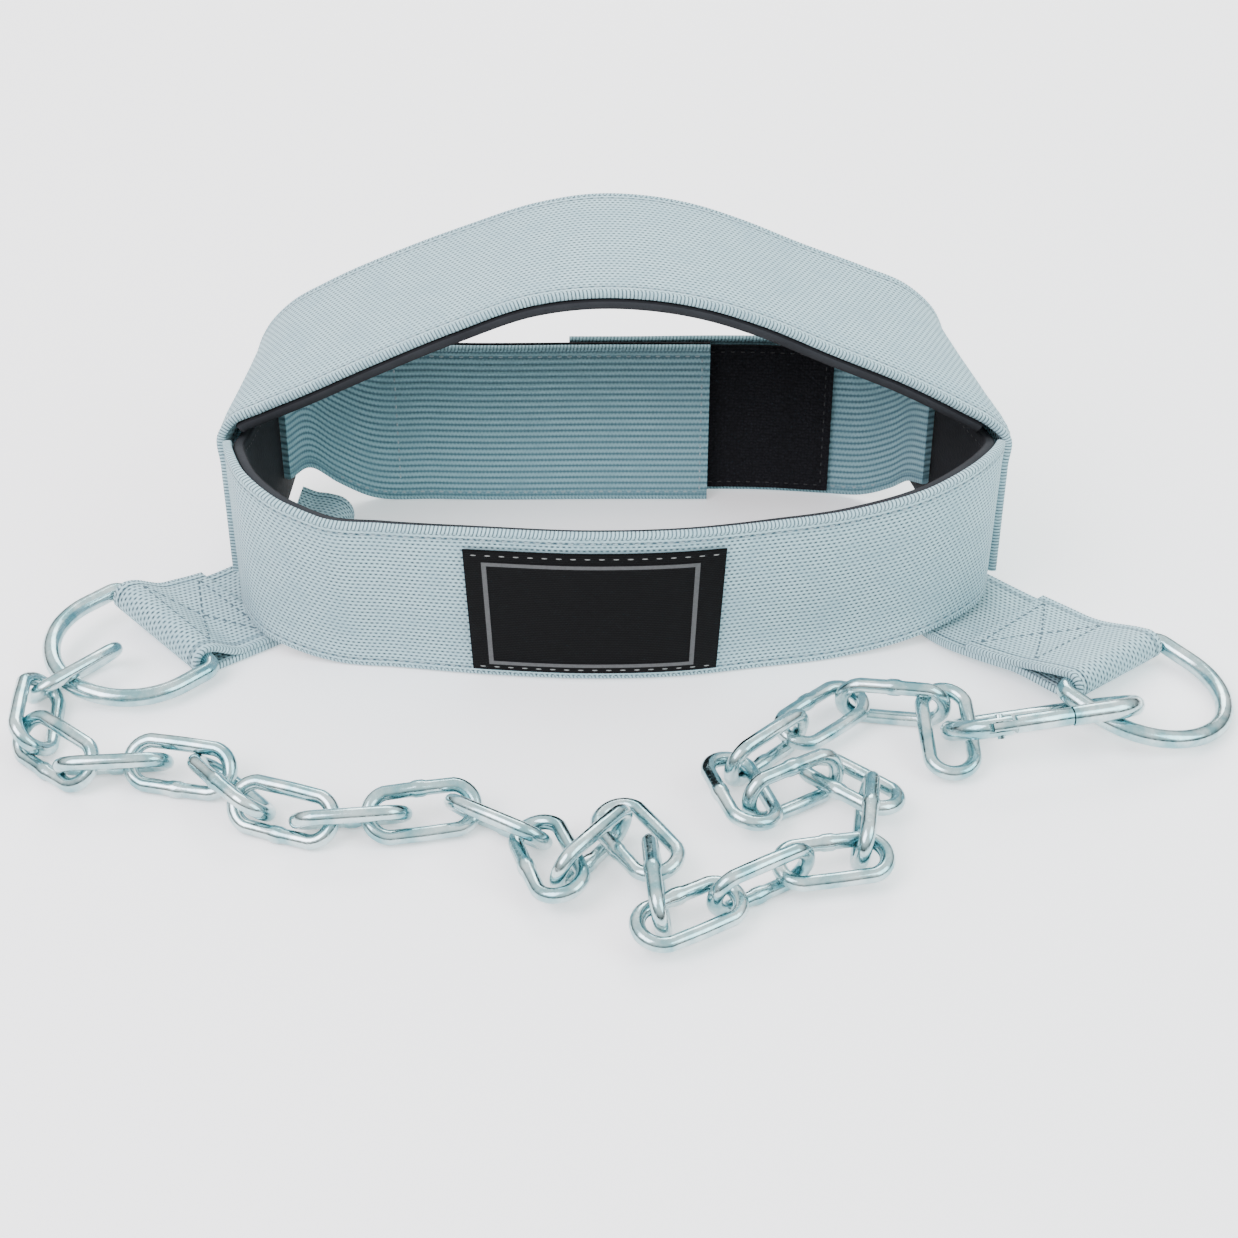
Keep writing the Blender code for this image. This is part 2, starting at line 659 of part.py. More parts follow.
def make_hook(materials):
    """Make the snap hook: an oval of wire open on its near side, and the gate across it."""
    radius = (HOOK_WIDTH - HOOK_WIRE) / 2
    straight = (HOOK_LENGTH - HOOK_WIDTH) / 2
    rivet = RIVET_PLACE * HOOK_LENGTH
    nose = NOSE_PLACE * HOOK_LENGTH
    middle = np.zeros(3)
    outline = [(rivet + CHEEK_REACH, -radius, 0.0), (rivet, -radius, 0.0)]
    for side, begin in ((-1.0, 270.0), (1.0, 90.0)):
        for step in range(1 - int(side > 0), RING_ARC_STEPS + 1):
            bend = direction(begin - 180.0 * step / RING_ARC_STEPS)
            outline.append((side * straight + radius * bend[0], radius * bend[1], 0.0))
    outline.append((nose - NOSE_LAP, -radius, 0.0))
    body = wire("snap_hook", outline, HOOK_WIRE, HOOK_SIDES, materials["zinc"], closed=False)
    place_hook_piece(body)
    slot = GATE_TONGUE / 2 + FIT_GAP
    far = CUT_MARGIN + HOOK_WIRE
    cut(body, "slot_cutter", (rivet + CHEEK_REACH - SLOT_DEPTH, -radius - far, -slot),
        (rivet + far, -radius + CUT_MARGIN, slot))
    pin(body, "rivet_hole", (rivet, -radius), RIVET + 2 * FIT_GAP, 2 * far, "DIFFERENCE")
    cut(body, "nose_cutter", (nose - NOSE_LAP - far, -radius - FIT_GAP / 2, -far),
        (nose + FIT_GAP, -radius + CUT_MARGIN, far))
    bar = [(rivet - SLOT_DEPTH + CHEEK_REACH + 2 * FIT_GAP, -radius, 0.0), (nose, -radius, 0.0)]
    gate = wire("snap_hook_gate", bar, GATE_WIRE, HOOK_SIDES, materials["zinc"], closed=False)
    place_hook_piece(gate)
    shoulder = rivet + SHOULDER_REACH
    for name, side in (("upper_cheek_cutter", 1), ("lower_cheek_cutter", -1)):
        heights = sorted((side * GATE_TONGUE / 2, side * far))
        cut(gate, name, (rivet - far, -radius - far, heights[0]),
            (shoulder, -radius + far, heights[1]))
    cut(gate, "lap_cutter", (nose - NOSE_LAP - FIT_GAP, -radius - far, -far),
        (nose + far, -radius + FIT_GAP / 2, far))
    pin(gate, "rivet_pin", (rivet, -radius), RIVET, HOOK_WIRE + RIVET / 2, "UNION")


def settle():
    """Move every object so that the middle of the bounding box's bottom is at the origin."""
    bpy.context.view_layer.update()
    solids = [thing for thing in bpy.data.objects if not thing.hide_render]
    corners = [thing.matrix_world @ vertex.co for thing in solids for vertex in thing.data.vertices]
    low, high = np.min(corners, axis=0), np.max(corners, axis=0)
    shift = Vector(((low[0] + high[0]) / 2, (low[1] + high[1]) / 2, low[2]))
    for thing in bpy.data.objects:
        thing.location -= shift


def main():
    """Build every piece of the harness."""
    clear_scene()
    materials = make_materials()
    make_forehead(materials)
    make_crown(materials)
    make_back_strap(materials)
    for side in ("left", "right"):
        make_tab(side, materials)
        make_ring(side, materials)
    make_chain(materials)
    make_hook(materials)
    settle()


main()
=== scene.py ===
"""Looks of a neck training harness: webbing head loop, steel rings, chain and snap hook.

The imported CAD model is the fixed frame. Each class below dresses one sub-assembly of it:
webbing straps with their selvedges and seams, foam linings, a bordered label, hook and
loop, D-rings, a welded chain and a snap hook. Sizes are in millimetres unless a name or a
docstring says metres. +X is the left-to-right width, +Y runs from the forehead to the back
strap and +Z is up.
"""

import json
import logging
import math
from collections.abc import Callable
from dataclasses import dataclass, field
from enum import Enum

import bpy
import numpy as np
from mathutils import Matrix, Vector

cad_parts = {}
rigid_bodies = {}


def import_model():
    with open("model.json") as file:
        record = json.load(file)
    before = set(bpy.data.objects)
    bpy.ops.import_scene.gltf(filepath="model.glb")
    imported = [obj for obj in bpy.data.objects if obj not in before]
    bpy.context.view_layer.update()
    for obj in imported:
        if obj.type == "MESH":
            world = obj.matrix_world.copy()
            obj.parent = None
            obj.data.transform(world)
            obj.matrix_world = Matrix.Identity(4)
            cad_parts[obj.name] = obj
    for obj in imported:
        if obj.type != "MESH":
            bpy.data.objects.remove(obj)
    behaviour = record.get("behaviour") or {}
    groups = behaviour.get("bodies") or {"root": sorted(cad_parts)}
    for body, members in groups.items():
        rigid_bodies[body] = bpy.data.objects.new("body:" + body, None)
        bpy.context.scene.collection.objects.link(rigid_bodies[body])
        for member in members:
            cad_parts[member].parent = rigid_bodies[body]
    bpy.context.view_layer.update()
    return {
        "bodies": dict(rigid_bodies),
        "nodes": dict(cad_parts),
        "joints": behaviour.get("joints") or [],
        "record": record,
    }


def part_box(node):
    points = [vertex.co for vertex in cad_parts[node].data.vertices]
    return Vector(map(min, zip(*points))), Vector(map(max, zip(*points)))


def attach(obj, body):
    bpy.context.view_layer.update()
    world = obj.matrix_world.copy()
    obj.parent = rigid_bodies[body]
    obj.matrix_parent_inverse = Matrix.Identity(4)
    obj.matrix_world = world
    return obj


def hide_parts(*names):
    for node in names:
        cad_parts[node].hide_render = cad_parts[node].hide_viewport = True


LOG = logging.getLogger("harness")
MM = 0.001
UP = np.array([0.0, 0.0, 1.0])
CLOTH_MAP = "cloth"
EDGE_FIELD = "edge"
FOAM_EDGE_RISE = (-0.5, -0.16, -0.03, 0.0, 0.0, 0.0)
FOAM_EDGE_WIDTH = 0.5

Seam = list[tuple[float, float]]


class Body(Enum):
    """The frame's two moving bodies."""

    HARNESS = "harness"
    GATE = "gate"


class Slot(Enum):
    """The record's material slots."""

    WEBBING = "webbing"
    LINING = "lining"
    LABEL = "label"
    FASTENER = "fastener"
    ZINC = "zinc"


class Side(Enum):
    """Left or right of the wearer's view, with its sign along X."""

    LEFT = -1.0
    RIGHT = 1.0

    @property
    def word(self) -> str:
        """Return the side's name in lower case."""
        return self.name.lower()


def linear(hex_colour: str) -> tuple[float, float, float, float]:
    """Turn an sRGB hex colour into linear RGBA.

    Args:
        hex_colour: six hex digits, with or without a leading hash.

    Returns:
        The colour as four linear values.
    """
    digits = hex_colour.lstrip("#")
    channels = [int(digits[i:i + 2], 16) / 255 for i in (0, 2, 4)]
    curved = [c / 12.92 if c <= 0.04045 else ((c + 0.055) / 1.055) ** 2.4 for c in channels]
    return (*curved, 1.0)


def unit(vector: np.ndarray) -> np.ndarray:
    """Return a vector of length one."""
    return np.asarray(vector, dtype=float) / np.linalg.norm(vector)


def heading(degrees: float, sign: float = 1.0) -> np.ndarray:
    """Return the level direction at an angle from +X towards +Y, mirrored where sign is -1."""
    angle = math.radians(degrees)
    return np.array([sign * math.cos(angle), math.sin(angle), 0.0])


def only(thing: bpy.types.Object) -> None:
    """Select one object alone and make it active."""
    bpy.ops.object.select_all(action="DESELECT")
    thing.select_set(True)
    bpy.context.view_layer.objects.active = thing


def smooth_rows(rows: np.ndarray, count: int, first: float = 0.0, last: float = 1.0) -> np.ndarray:
    """Return rows on a smooth curve through the given ones.

    Args:
        rows: table whose first three columns are the place.
        count: number of rows wanted.
        first: share of the length at which they begin.
        last: share of the length at which they end.

    Returns:
        The table at even steps of length, cubic between the given rows.
    """
    table = np.array(rows, dtype=float)
    steps = np.linalg.norm(np.diff(table[:, :3], axis=0), axis=1)
    place = np.concatenate(([0.0], np.cumsum(steps)))
    slope = np.gradient(table, place, axis=0)
    at = np.linspace(first, last, count) * place[-1]
    index = np.clip(np.searchsorted(place, at, side="right") - 1, 0, len(place) - 2)
    span = (place[index + 1] - place[index])[:, None]
    t = (at[:, None] - place[index][:, None]) / span
    before = (1 + 2 * t) * (1 - t) ** 2 * table[index] + t * (1 - t) ** 2 * span * slope[index]
    after = t * t * (3 - 2 * t) * table[index + 1] + t * t * (t - 1) * span * slope[index + 1]
    return before + after


def mesh_object(name: str, points: np.ndarray, faces: list[tuple[int, ...]]) -> bpy.types.Object:
    """Make an object from points in millimetres and faces.

    Args:
        name: the piece's name.
        points: one row for each vertex.
        faces: vertex numbers of each face.

    Returns:
        The new object, at the origin, linked to the scene.
    """
    data = bpy.data.meshes.new(name)
    data.from_pydata((np.asarray(points) * MM).tolist(), [], faces)
    data.update()
    thing = bpy.data.objects.new(name, data)
    bpy.context.scene.collection.objects.link(thing)
    return thing


def hand_over(thing: bpy.types.Object, material: bpy.types.Material,
              nodes: tuple[str, ...] = (), body: Body = Body.HARNESS,
              smooth: float = 45.0) -> bpy.types.Object:
    """Give a finished piece its material, shading and body, and hide the CAD nodes that it stands
    for.

    Args:
        thing: the piece, at the origin.
        material: its main material, put first.
        nodes: CAD nodes that it stands for.
        body: the CAD body that it rides on.
        smooth: angle in degrees above which an edge stays sharp.

    Returns:
        The same object.
    """
    if not thing.data.materials:
        thing.data.materials.append(material)
    only(thing)
    bpy.ops.object.shade_smooth_by_angle(angle=math.radians(smooth))
    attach(thing, body.value)
    if nodes:
        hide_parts(*nodes)
    LOG.info("%s: %d faces", thing.name, len(thing.data.polygons))
    return thing


def fill(tree: bpy.types.NodeTree, node: bpy.types.Node, inputs: dict) -> None:
    """Link sockets to a node's inputs, or set plain values on them."""
    for key, value in inputs.items():
        if isinstance(value, bpy.types.NodeSocket):
            tree.links.new(value, node.inputs[key])
        else:
            node.inputs[key].default_value = value


def add_node(tree: bpy.types.NodeTree, kind: str, inputs: dict | None = None,
             **settings: object) -> bpy.types.Node:
    """Add a shader node with its settings and links.

    Args:
        tree: the material's or world's node tree.
        kind: the node's type after the word ShaderNode.
        inputs: values or output sockets, by the input's name or number.
        settings: the node's own properties.

    Returns:
        The new node.
    """
    node = tree.nodes.new("ShaderNode" + kind)
    for key, value in settings.items():
        setattr(node, key, value)
    fill(tree, node, inputs or {})
    return node


def maths(tree: bpy.types.NodeTree, operation: str, *values: object) -> bpy.types.NodeSocket:
    """Return the output of a Math node, for a formula written over several lines."""
    node = add_node(tree, "Math", dict(enumerate(values)), operation=operation)
    return node.outputs[0]


def ridges(tree: bpy.types.NodeTree, value: bpy.types.NodeSocket) -> bpy.types.NodeSocket:
    """Return rounded ridges with a valley at each whole number."""
    return maths(tree, "ABSOLUTE", maths(tree, "SINE", maths(tree, "MULTIPLY", value, math.pi)))


def new_material(name: str) -> tuple[bpy.types.Material, bpy.types.NodeTree, bpy.types.Node]:
    """Return a new material with its tree and its shader."""
    material = bpy.data.materials.new(name)
    material.use_nodes = True
    tree = material.node_tree
    return material, tree, tree.nodes["Principled BSDF"]


@dataclass(frozen=True)
class WebbingFinish:
    """Heavy cotton-polyester webbing in a basket weave, coloured grey-blue by its dye.

    The eye sees staggered rows of lit yarn crowns with a dark pit between them, a slightly
    mottled dye, and a rope-like selvedge along both edges. The colour paints a highlight on
    the crowns and shade in the pits, in the stitch groove and between the selvedge's twists.
    """

    name: str = "grey_blue_basket_webbing"
    # the lit yarn crowns, then painted shade in the pits between the yarns
    lit_crown_colour: str = "#ACCDD4"
    pit_shade_colour: str = "#1F3D48"
    mottle_colour: str = "#7DA0AD"
    cell_along: float = 1.65
    cell_across: float = 1.5
    stagger: float = 0.5
    crown_base: float = 0.7
    rib: float = 0.0
    selvedge: float = 1.5
    selvedge_fade: tuple[float, float] = (-0.3, 0.1)
    rope_pitch: float = 1.15
    rope_slant: float = 0.3
    rope_round: float = 0.6
    stitch_line: float = 3.3
    stitch_groove: float = 0.7
    groove_floor: float = 0.45
    fuzz: float = 0.45
    fuzz_height: float = 0.35
    mottle: float = 9.0
    mottle_share: float = 0.4
    relief: float = 0.42
    roughness: float = 0.82
    sheen: float = 0.12
    specular: float = 0.35

    def weave(self, tree: bpy.types.NodeTree, axes: bpy.types.Node) -> bpy.types.NodeSocket:
        """Return the yarns' height: staggered crowns, or ribs that run along the webbing."""
        across = maths(tree, "DIVIDE", axes.outputs["Y"], self.cell_across)
        row = maths(tree, "FLOOR", maths(tree, "ADD", across, 0.5))
        along = maths(tree, "DIVIDE", axes.outputs["X"], self.cell_along)
        along = maths(tree, "MULTIPLY_ADD", row, self.stagger, along)
        run, rise = ridges(tree, along), ridges(tree, across)
        slope = 1.0 - self.crown_base
        crowns = maths(tree, "MULTIPLY", maths(tree, "MAXIMUM", run, rise),
                       maths(tree, "MULTIPLY_ADD", rise, slope, self.crown_base))
        ribs = maths(tree, "MULTIPLY", rise,
                     maths(tree, "MULTIPLY_ADD", run, slope, self.crown_base))
        return add_node(tree, "Mix", {0: self.rib, 2: crowns, 3: ribs}).outputs[0]

    def height(self, tree: bpy.types.NodeTree, spot: bpy.types.NodeSocket) -> bpy.types.NodeSocket:
        """Return the cloth's height: weave, selvedge, stitch groove and fuzz."""
        place = add_node(tree, "UVMap", uv_map=CLOTH_MAP).outputs["UV"]
        axes = add_node(tree, "SeparateXYZ", {0: place})
        edge = add_node(tree, "Attribute", attribute_name=EDGE_FIELD).outputs["Fac"]
        slant = maths(tree, "MULTIPLY_ADD", edge, self.rope_slant,
                      maths(tree, "DIVIDE", axes.outputs["X"], self.rope_pitch))
        rope = maths(tree, "POWER", ridges(tree, slant), self.rope_round)
        start, stop = (self.selvedge + fade for fade in self.selvedge_fade)
        inner = add_node(tree, "MapRange", {0: edge, 1: start, 2: stop})
        height = add_node(tree, "Mix", {0: inner.outputs[0], 2: rope,
                                        3: self.weave(tree, axes)}).outputs[0]
        offset = maths(tree, "ABSOLUTE", maths(tree, "SUBTRACT", edge, self.stitch_line))
        groove = add_node(tree, "MapRange", {0: offset, 1: 0.0, 2: self.stitch_groove,
                                             3: self.groove_floor, 4: 1.0})
        height = maths(tree, "MULTIPLY", height, groove.outputs[0])
        fuzz = add_node(tree, "TexNoise", {"Vector": spot, "Scale": 1 / (self.fuzz * MM),
                                           "Detail": 2.0})
        return maths(tree, "MULTIPLY_ADD", fuzz.outputs["Fac"], self.fuzz_height, height)

    def build(self) -> bpy.types.Material:
        """Return the material, whose weave follows the piece's cloth map in millimetres."""
        material, tree, shader = new_material(self.name)
        spot = add_node(tree, "TexCoord").outputs["Object"]
        height = self.height(tree, spot)
        # painted light: the cloth's height paints the crowns light and the pits, stitch groove and
        # selvedge valleys dark
        light = add_node(tree, "MapRange", {0: height, 1: 0.45, 2: 1.05})
        weave_with_painted_shade = add_node(tree, "Mix", {0: light.outputs[0], 6: linear(self.pit_shade_colour),
                                      7: linear(self.lit_crown_colour)}, data_type="RGBA")
        cloud = add_node(tree, "TexNoise", {"Vector": spot, "Scale": 1 / (self.mottle * MM),
                                            "Detail": 4.0, "Roughness": 0.65})
        patch = add_node(tree, "MapRange", {0: cloud.outputs["Fac"], 1: 0.42, 2: 0.72,
                                            4: self.mottle_share})
        colour = add_node(tree, "Mix", {0: patch.outputs[0], 6: weave_with_painted_shade.outputs[2],
                                        7: linear(self.mottle_colour)}, data_type="RGBA")
        bump = add_node(tree, "Bump", {"Height": height, "Distance": self.relief * MM,
                                       "Strength": 1.0})
        fill(tree, shader, {"Base Color": colour.outputs[2], "Normal": bump.outputs[0],
                            "Roughness": self.roughness, "Sheen Weight": self.sheen,
                            "Specular IOR Level": self.specular})
        return material


@dataclass(frozen=True)
class FoamFinish:
    """Neoprene foam sheet with a knitted black face: matt, with a fine knit grain."""

    name: str = "black_neoprene"
    colour: str = "#0E0F12"
    raised_colour: str = "#1B1C20"
    grain: float = 0.9
    cloud: float = 14.0
    relief: float = 0.12
    roughness: float = 0.78
    specular: float = 0.18

    def build(self) -> bpy.types.Material:
        """Return the material, with a grain in millimetres on Object coordinates."""
        material, tree, shader = new_material(self.name)
        spot = add_node(tree, "TexCoord").outputs["Object"]
        knit = add_node(tree, "TexVoronoi", {"Vector": spot, "Scale": 1 / (self.grain * MM)})
        cloud = add_node(tree, "TexNoise", {"Vector": spot, "Scale": 1 / (self.cloud * MM),
                                            "Detail": 3.0})
        colour = add_node(tree, "Mix", {0: cloud.outputs["Fac"], 6: linear(self.colour),
                                        7: linear(self.raised_colour)}, data_type="RGBA")
        bump = add_node(tree, "Bump", {"Height": knit.outputs["Distance"],
                                       "Distance": self.relief * MM, "Strength": 0.6})
        fill(tree, shader, {"Base Color": colour.outputs[2], "Normal": bump.outputs[0],
                            "Roughness": self.roughness, "Specular IOR Level": self.specular})
        return material


@dataclass(frozen=True)
class LabelFinish:
    """Damask label of black polyester yarn: a faint sheen, partly painted as lighter yarn ridges,
    and fine level weft lines with painted shade between them.
    """

    name: str = "black_damask"
    # painted shade in the grooves between the yarns, then painted highlight on their ridges
    painted_shade_colour: str = "#020203"
    painted_light_colour: str = "#08090A"
    yarn: float = 0.75
    pick_length: float = 1.3
    relief: float = 0.1
    roughness: float = 0.7
    specular: float = 0.08

    def build(self) -> bpy.types.Material:
        """Return the material. The yarn is drawn at twice its real size so that it shows."""
        material, tree, shader = new_material(self.name)
        place = add_node(tree, "UVMap", uv_map=CLOTH_MAP).outputs["UV"]
        axes = add_node(tree, "SeparateXYZ", {0: place})
        rise = maths(tree, "DIVIDE", axes.outputs["Y"], self.yarn)
        run = maths(tree, "DIVIDE", axes.outputs["X"], self.yarn * self.pick_length)
        step = maths(tree, "MULTIPLY_ADD", maths(tree, "FLOOR", rise), 0.5, run)
        pick = maths(tree, "MULTIPLY_ADD", ridges(tree, step), 0.5, 0.5)
        height = maths(tree, "MULTIPLY", ridges(tree, rise), pick)
        # painted light: the yarn's height paints the ridges lighter and the grooves darker
        colour = add_node(tree, "Mix", {0: height, 6: linear(self.painted_shade_colour),
                                        7: linear(self.painted_light_colour)}, data_type="RGBA")
        bump = add_node(tree, "Bump", {"Height": height, "Distance": self.relief * MM,
                                       "Strength": 0.8})
        fill(tree, shader, {"Base Color": colour.outputs[2], "Normal": bump.outputs[0],
                            "Roughness": self.roughness, "Specular IOR Level": self.specular})
        return material


@dataclass(frozen=True)
class PileFinish:
    """Black nylon hook or loop tape: a dense pile that swallows light, with tiny painted glints on
    the tuft tops and painted shade between the tufts.
    """

    name: str = "black_nylon_pile"
    # painted shade between the tufts, then painted highlight on the tuft tops
    painted_shade_colour: str = "#050609"
    painted_light_colour: str = "#17181D"
    pitch: float = 1.1
    relief: float = 0.5
    roughness: float = 0.9
    specular: float = 0.2

    def build(self) -> bpy.types.Material:
        """Return the material, with one bump for each hook or tuft."""
        material, tree, shader = new_material(self.name)
        spot = add_node(tree, "TexCoord").outputs["Object"]
        tuft = add_node(tree, "TexVoronoi", {"Vector": spot, "Scale": 1 / (self.pitch * MM),
                                             "Randomness": 0.6})
        # painted light: each tuft's top is painted lighter and the hollows between tufts darker
        colour = add_node(tree, "Mix", {0: tuft.outputs["Distance"], 6: linear(self.painted_light_colour),
                                        7: linear(self.painted_shade_colour)}, data_type="RGBA")
        bump = add_node(tree, "Bump", {"Height": tuft.outputs["Distance"],
                                       "Distance": self.relief * MM, "Strength": 0.9},
                        invert=True)
        fill(tree, shader, {"Base Color": colour.outputs[2], "Normal": bump.outputs[0],
                            "Roughness": self.roughness, "Specular IOR Level": self.specular})
        return material


@dataclass(frozen=True)
class ThreadFinish:
    """Twisted polyester sewing thread: a plain colour from its dye, with a soft gloss on each
    stitch.
    """

    name: str
    colour: str
    shade: str
    twist: float = 0.7
    roughness: float = 0.6

    def build(self) -> bpy.types.Material:
        """Return the material, with a twist in millimetres on Object coordinates."""
        material, tree, shader = new_material(self.name)
        spot = add_node(tree, "TexCoord").outputs["Object"]
        ply = add_node(tree, "TexNoise", {"Vector": spot, "Scale": 1 / (self.twist * MM)})
        colour = add_node(tree, "Mix", {0: ply.outputs["Fac"], 6: linear(self.shade),
                                        7: linear(self.colour)}, data_type="RGBA")
        fill(tree, shader, {"Base Color": colour.outputs[2], "Roughness": self.roughness})
        return material


@dataclass(frozen=True)
class ZincFinish:
    """Bright zinc plate on drawn steel wire: mirror-like, blue-white, with faint draw marks."""

    name: str = "bright_zinc_plate"
    colour: str = "#BED0D1"
    blue_colour: str = "#7BA6AC"
    blotch: float = 7.0
    mark: float = 1.2
    relief: float = 0.05
    roughness: float = 0.12
    rough_patch: float = 0.34

    def build(self) -> bpy.types.Material:
        """Return the material, with its blotches and marks in millimetres."""
        material, tree, shader = new_material(self.name)
        spot = add_node(tree, "TexCoord").outputs["Object"]
        cloud = add_node(tree, "TexNoise", {"Vector": spot, "Scale": 1 / (self.blotch * MM),
                                            "Detail": 3.0})
        marks = add_node(tree, "TexNoise", {"Vector": spot, "Scale": 1 / (self.mark * MM),
                                            "Detail": 4.0, "Roughness": 0.6})
        tint = add_node(tree, "MapRange", {0: cloud.outputs["Fac"], 1: 0.35, 2: 0.65})
        colour = add_node(tree, "Mix", {0: tint.outputs[0], 6: linear(self.colour),
                                        7: linear(self.blue_colour)}, data_type="RGBA")
        gloss = add_node(tree, "MapRange", {0: marks.outputs["Fac"], 1: 0.4, 2: 0.75,
                                            3: self.roughness, 4: self.rough_patch})
        bump = add_node(tree, "Bump", {"Height": marks.outputs["Fac"],
                                       "Distance": self.relief * MM, "Strength": 0.35})
        fill(tree, shader, {"Base Color": colour.outputs[2], "Normal": bump.outputs[0],
                            "Roughness": gloss.outputs[0], "Metallic": 1.0})
        return material


@dataclass(frozen=True)
class Wardrobe:
    """Every material of the harness, built once."""

    webbing: bpy.types.Material
    ribbed: bpy.types.Material
    lining: bpy.types.Material
    foam_edge: bpy.types.Material
    label: bpy.types.Material
    border: bpy.types.Material
    pile: bpy.types.Material
    thread: bpy.types.Material
    slate_thread: bpy.types.Material
    light_thread: bpy.types.Material
    black_thread: bpy.types.Material
    zinc: bpy.types.Material

    @classmethod
    def open(cls) -> "Wardrobe":
        """Return the wardrobe with its materials built."""
        return cls(
            webbing=WebbingFinish().build(),
            # ribbed webbing: its crowns painted lit, and painted shade in the pits between its ribs
            ribbed=WebbingFinish(name="grey_blue_ribbed_webbing", lit_crown_colour="#8DB6BF",
                                 pit_shade_colour="#4B717B", mottle_colour="#6A919B", cell_along=1.25,
                                 cell_across=2.3, rib=0.75, relief=0.4).build(),
            lining=FoamFinish().build(),
            foam_edge=FoamFinish(name="cut_foam_edge", colour="#1D1F22", raised_colour="#35373A",
                                 grain=0.5, roughness=0.9).build(),
            label=LabelFinish().build(),
            border=ThreadFinish("grey_border_yarn", "#4E4F50", "#323334").build(),
            pile=PileFinish().build(),
            thread=ThreadFinish("grey_blue_thread", "#A3B7BD", "#6E8890").build(),
            slate_thread=ThreadFinish("slate_blue_thread", "#4E6872", "#33474F").build(),
            light_thread=ThreadFinish("pale_grey_thread", "#8E908D", "#5E605E").build(),
            black_thread=ThreadFinish("black_thread", "#1A1B1D", "#0C0D0E").build(),
            zinc=ZincFinish().build(),
        )


@dataclass
class Surface:
    """A cloth surface as a grid of points: rows along its length, columns from low to high."""

    grid: np.ndarray
    normals: np.ndarray = field(init=False)
    along: np.ndarray = field(init=False)
    widths: np.ndarray = field(init=False)

    def __post_init__(self) -> None:
        """Work out the normals, the length at each row and the width of each row."""
        along = np.gradient(self.grid, axis=0)
        across = np.gradient(self.grid, axis=1)
        normal = np.cross(along, across)
        self.normals = normal / np.linalg.norm(normal, axis=2, keepdims=True)
        middle = self.grid.mean(axis=1)
        steps = np.linalg.norm(np.diff(middle, axis=0), axis=1)
        self.along = np.concatenate(([0.0], np.cumsum(steps)))
        self.widths = np.linalg.norm(np.diff(self.grid, axis=1), axis=2).sum(axis=1)

    @property
    def length(self) -> float:
        """Return the length along the middle."""
        return float(self.along[-1])

    @property
    def width(self) -> float:
        """Return the mean width."""
        return float(self.widths.mean())

    def row_point(self, row: int, share: float, lift: float) -> np.ndarray:
        """Return the point at a share of one row's width, lifted along the normal."""
        at = share * (self.grid.shape[1] - 1)
        low = int(min(at, self.grid.shape[1] - 2))
        part = at - low
        point = self.grid[row, low] * (1 - part) + self.grid[row, low + 1] * part
        normal = self.normals[row, low] * (1 - part) + self.normals[row, low + 1] * part
        return point + unit(normal) * lift

    def at(self, u: float, v: float, lift: float = 0.0) -> np.ndarray:
        """Return a point of the surface.

        Args:
            u: length along the middle.
            v: distance from the low edge, or from the high edge if it is negative.
            lift: distance out along the normal.

        Returns:
            The point.
        """
        row = float(np.interp(u, self.along, np.arange(len(self.along))))
        low = int(min(row, len(self.along) - 2))
        part = row - low
        ends = []
        for i in (low, low + 1):
            width = self.widths[i]
            share = min(max((v if v >= 0 else width + v) / width, 0.0), 1.0)
            ends.append(self.row_point(i, share, lift))
        return ends[0] * (1 - part) + ends[1] * part

    def edge_rows(self, margin: float, inset: float) -> list[Seam]:
        """Return two seams along the cloth, near its high edge and near its low one."""
        return [[(margin, v), (self.length - margin, v)] for v in (-inset, inset)]


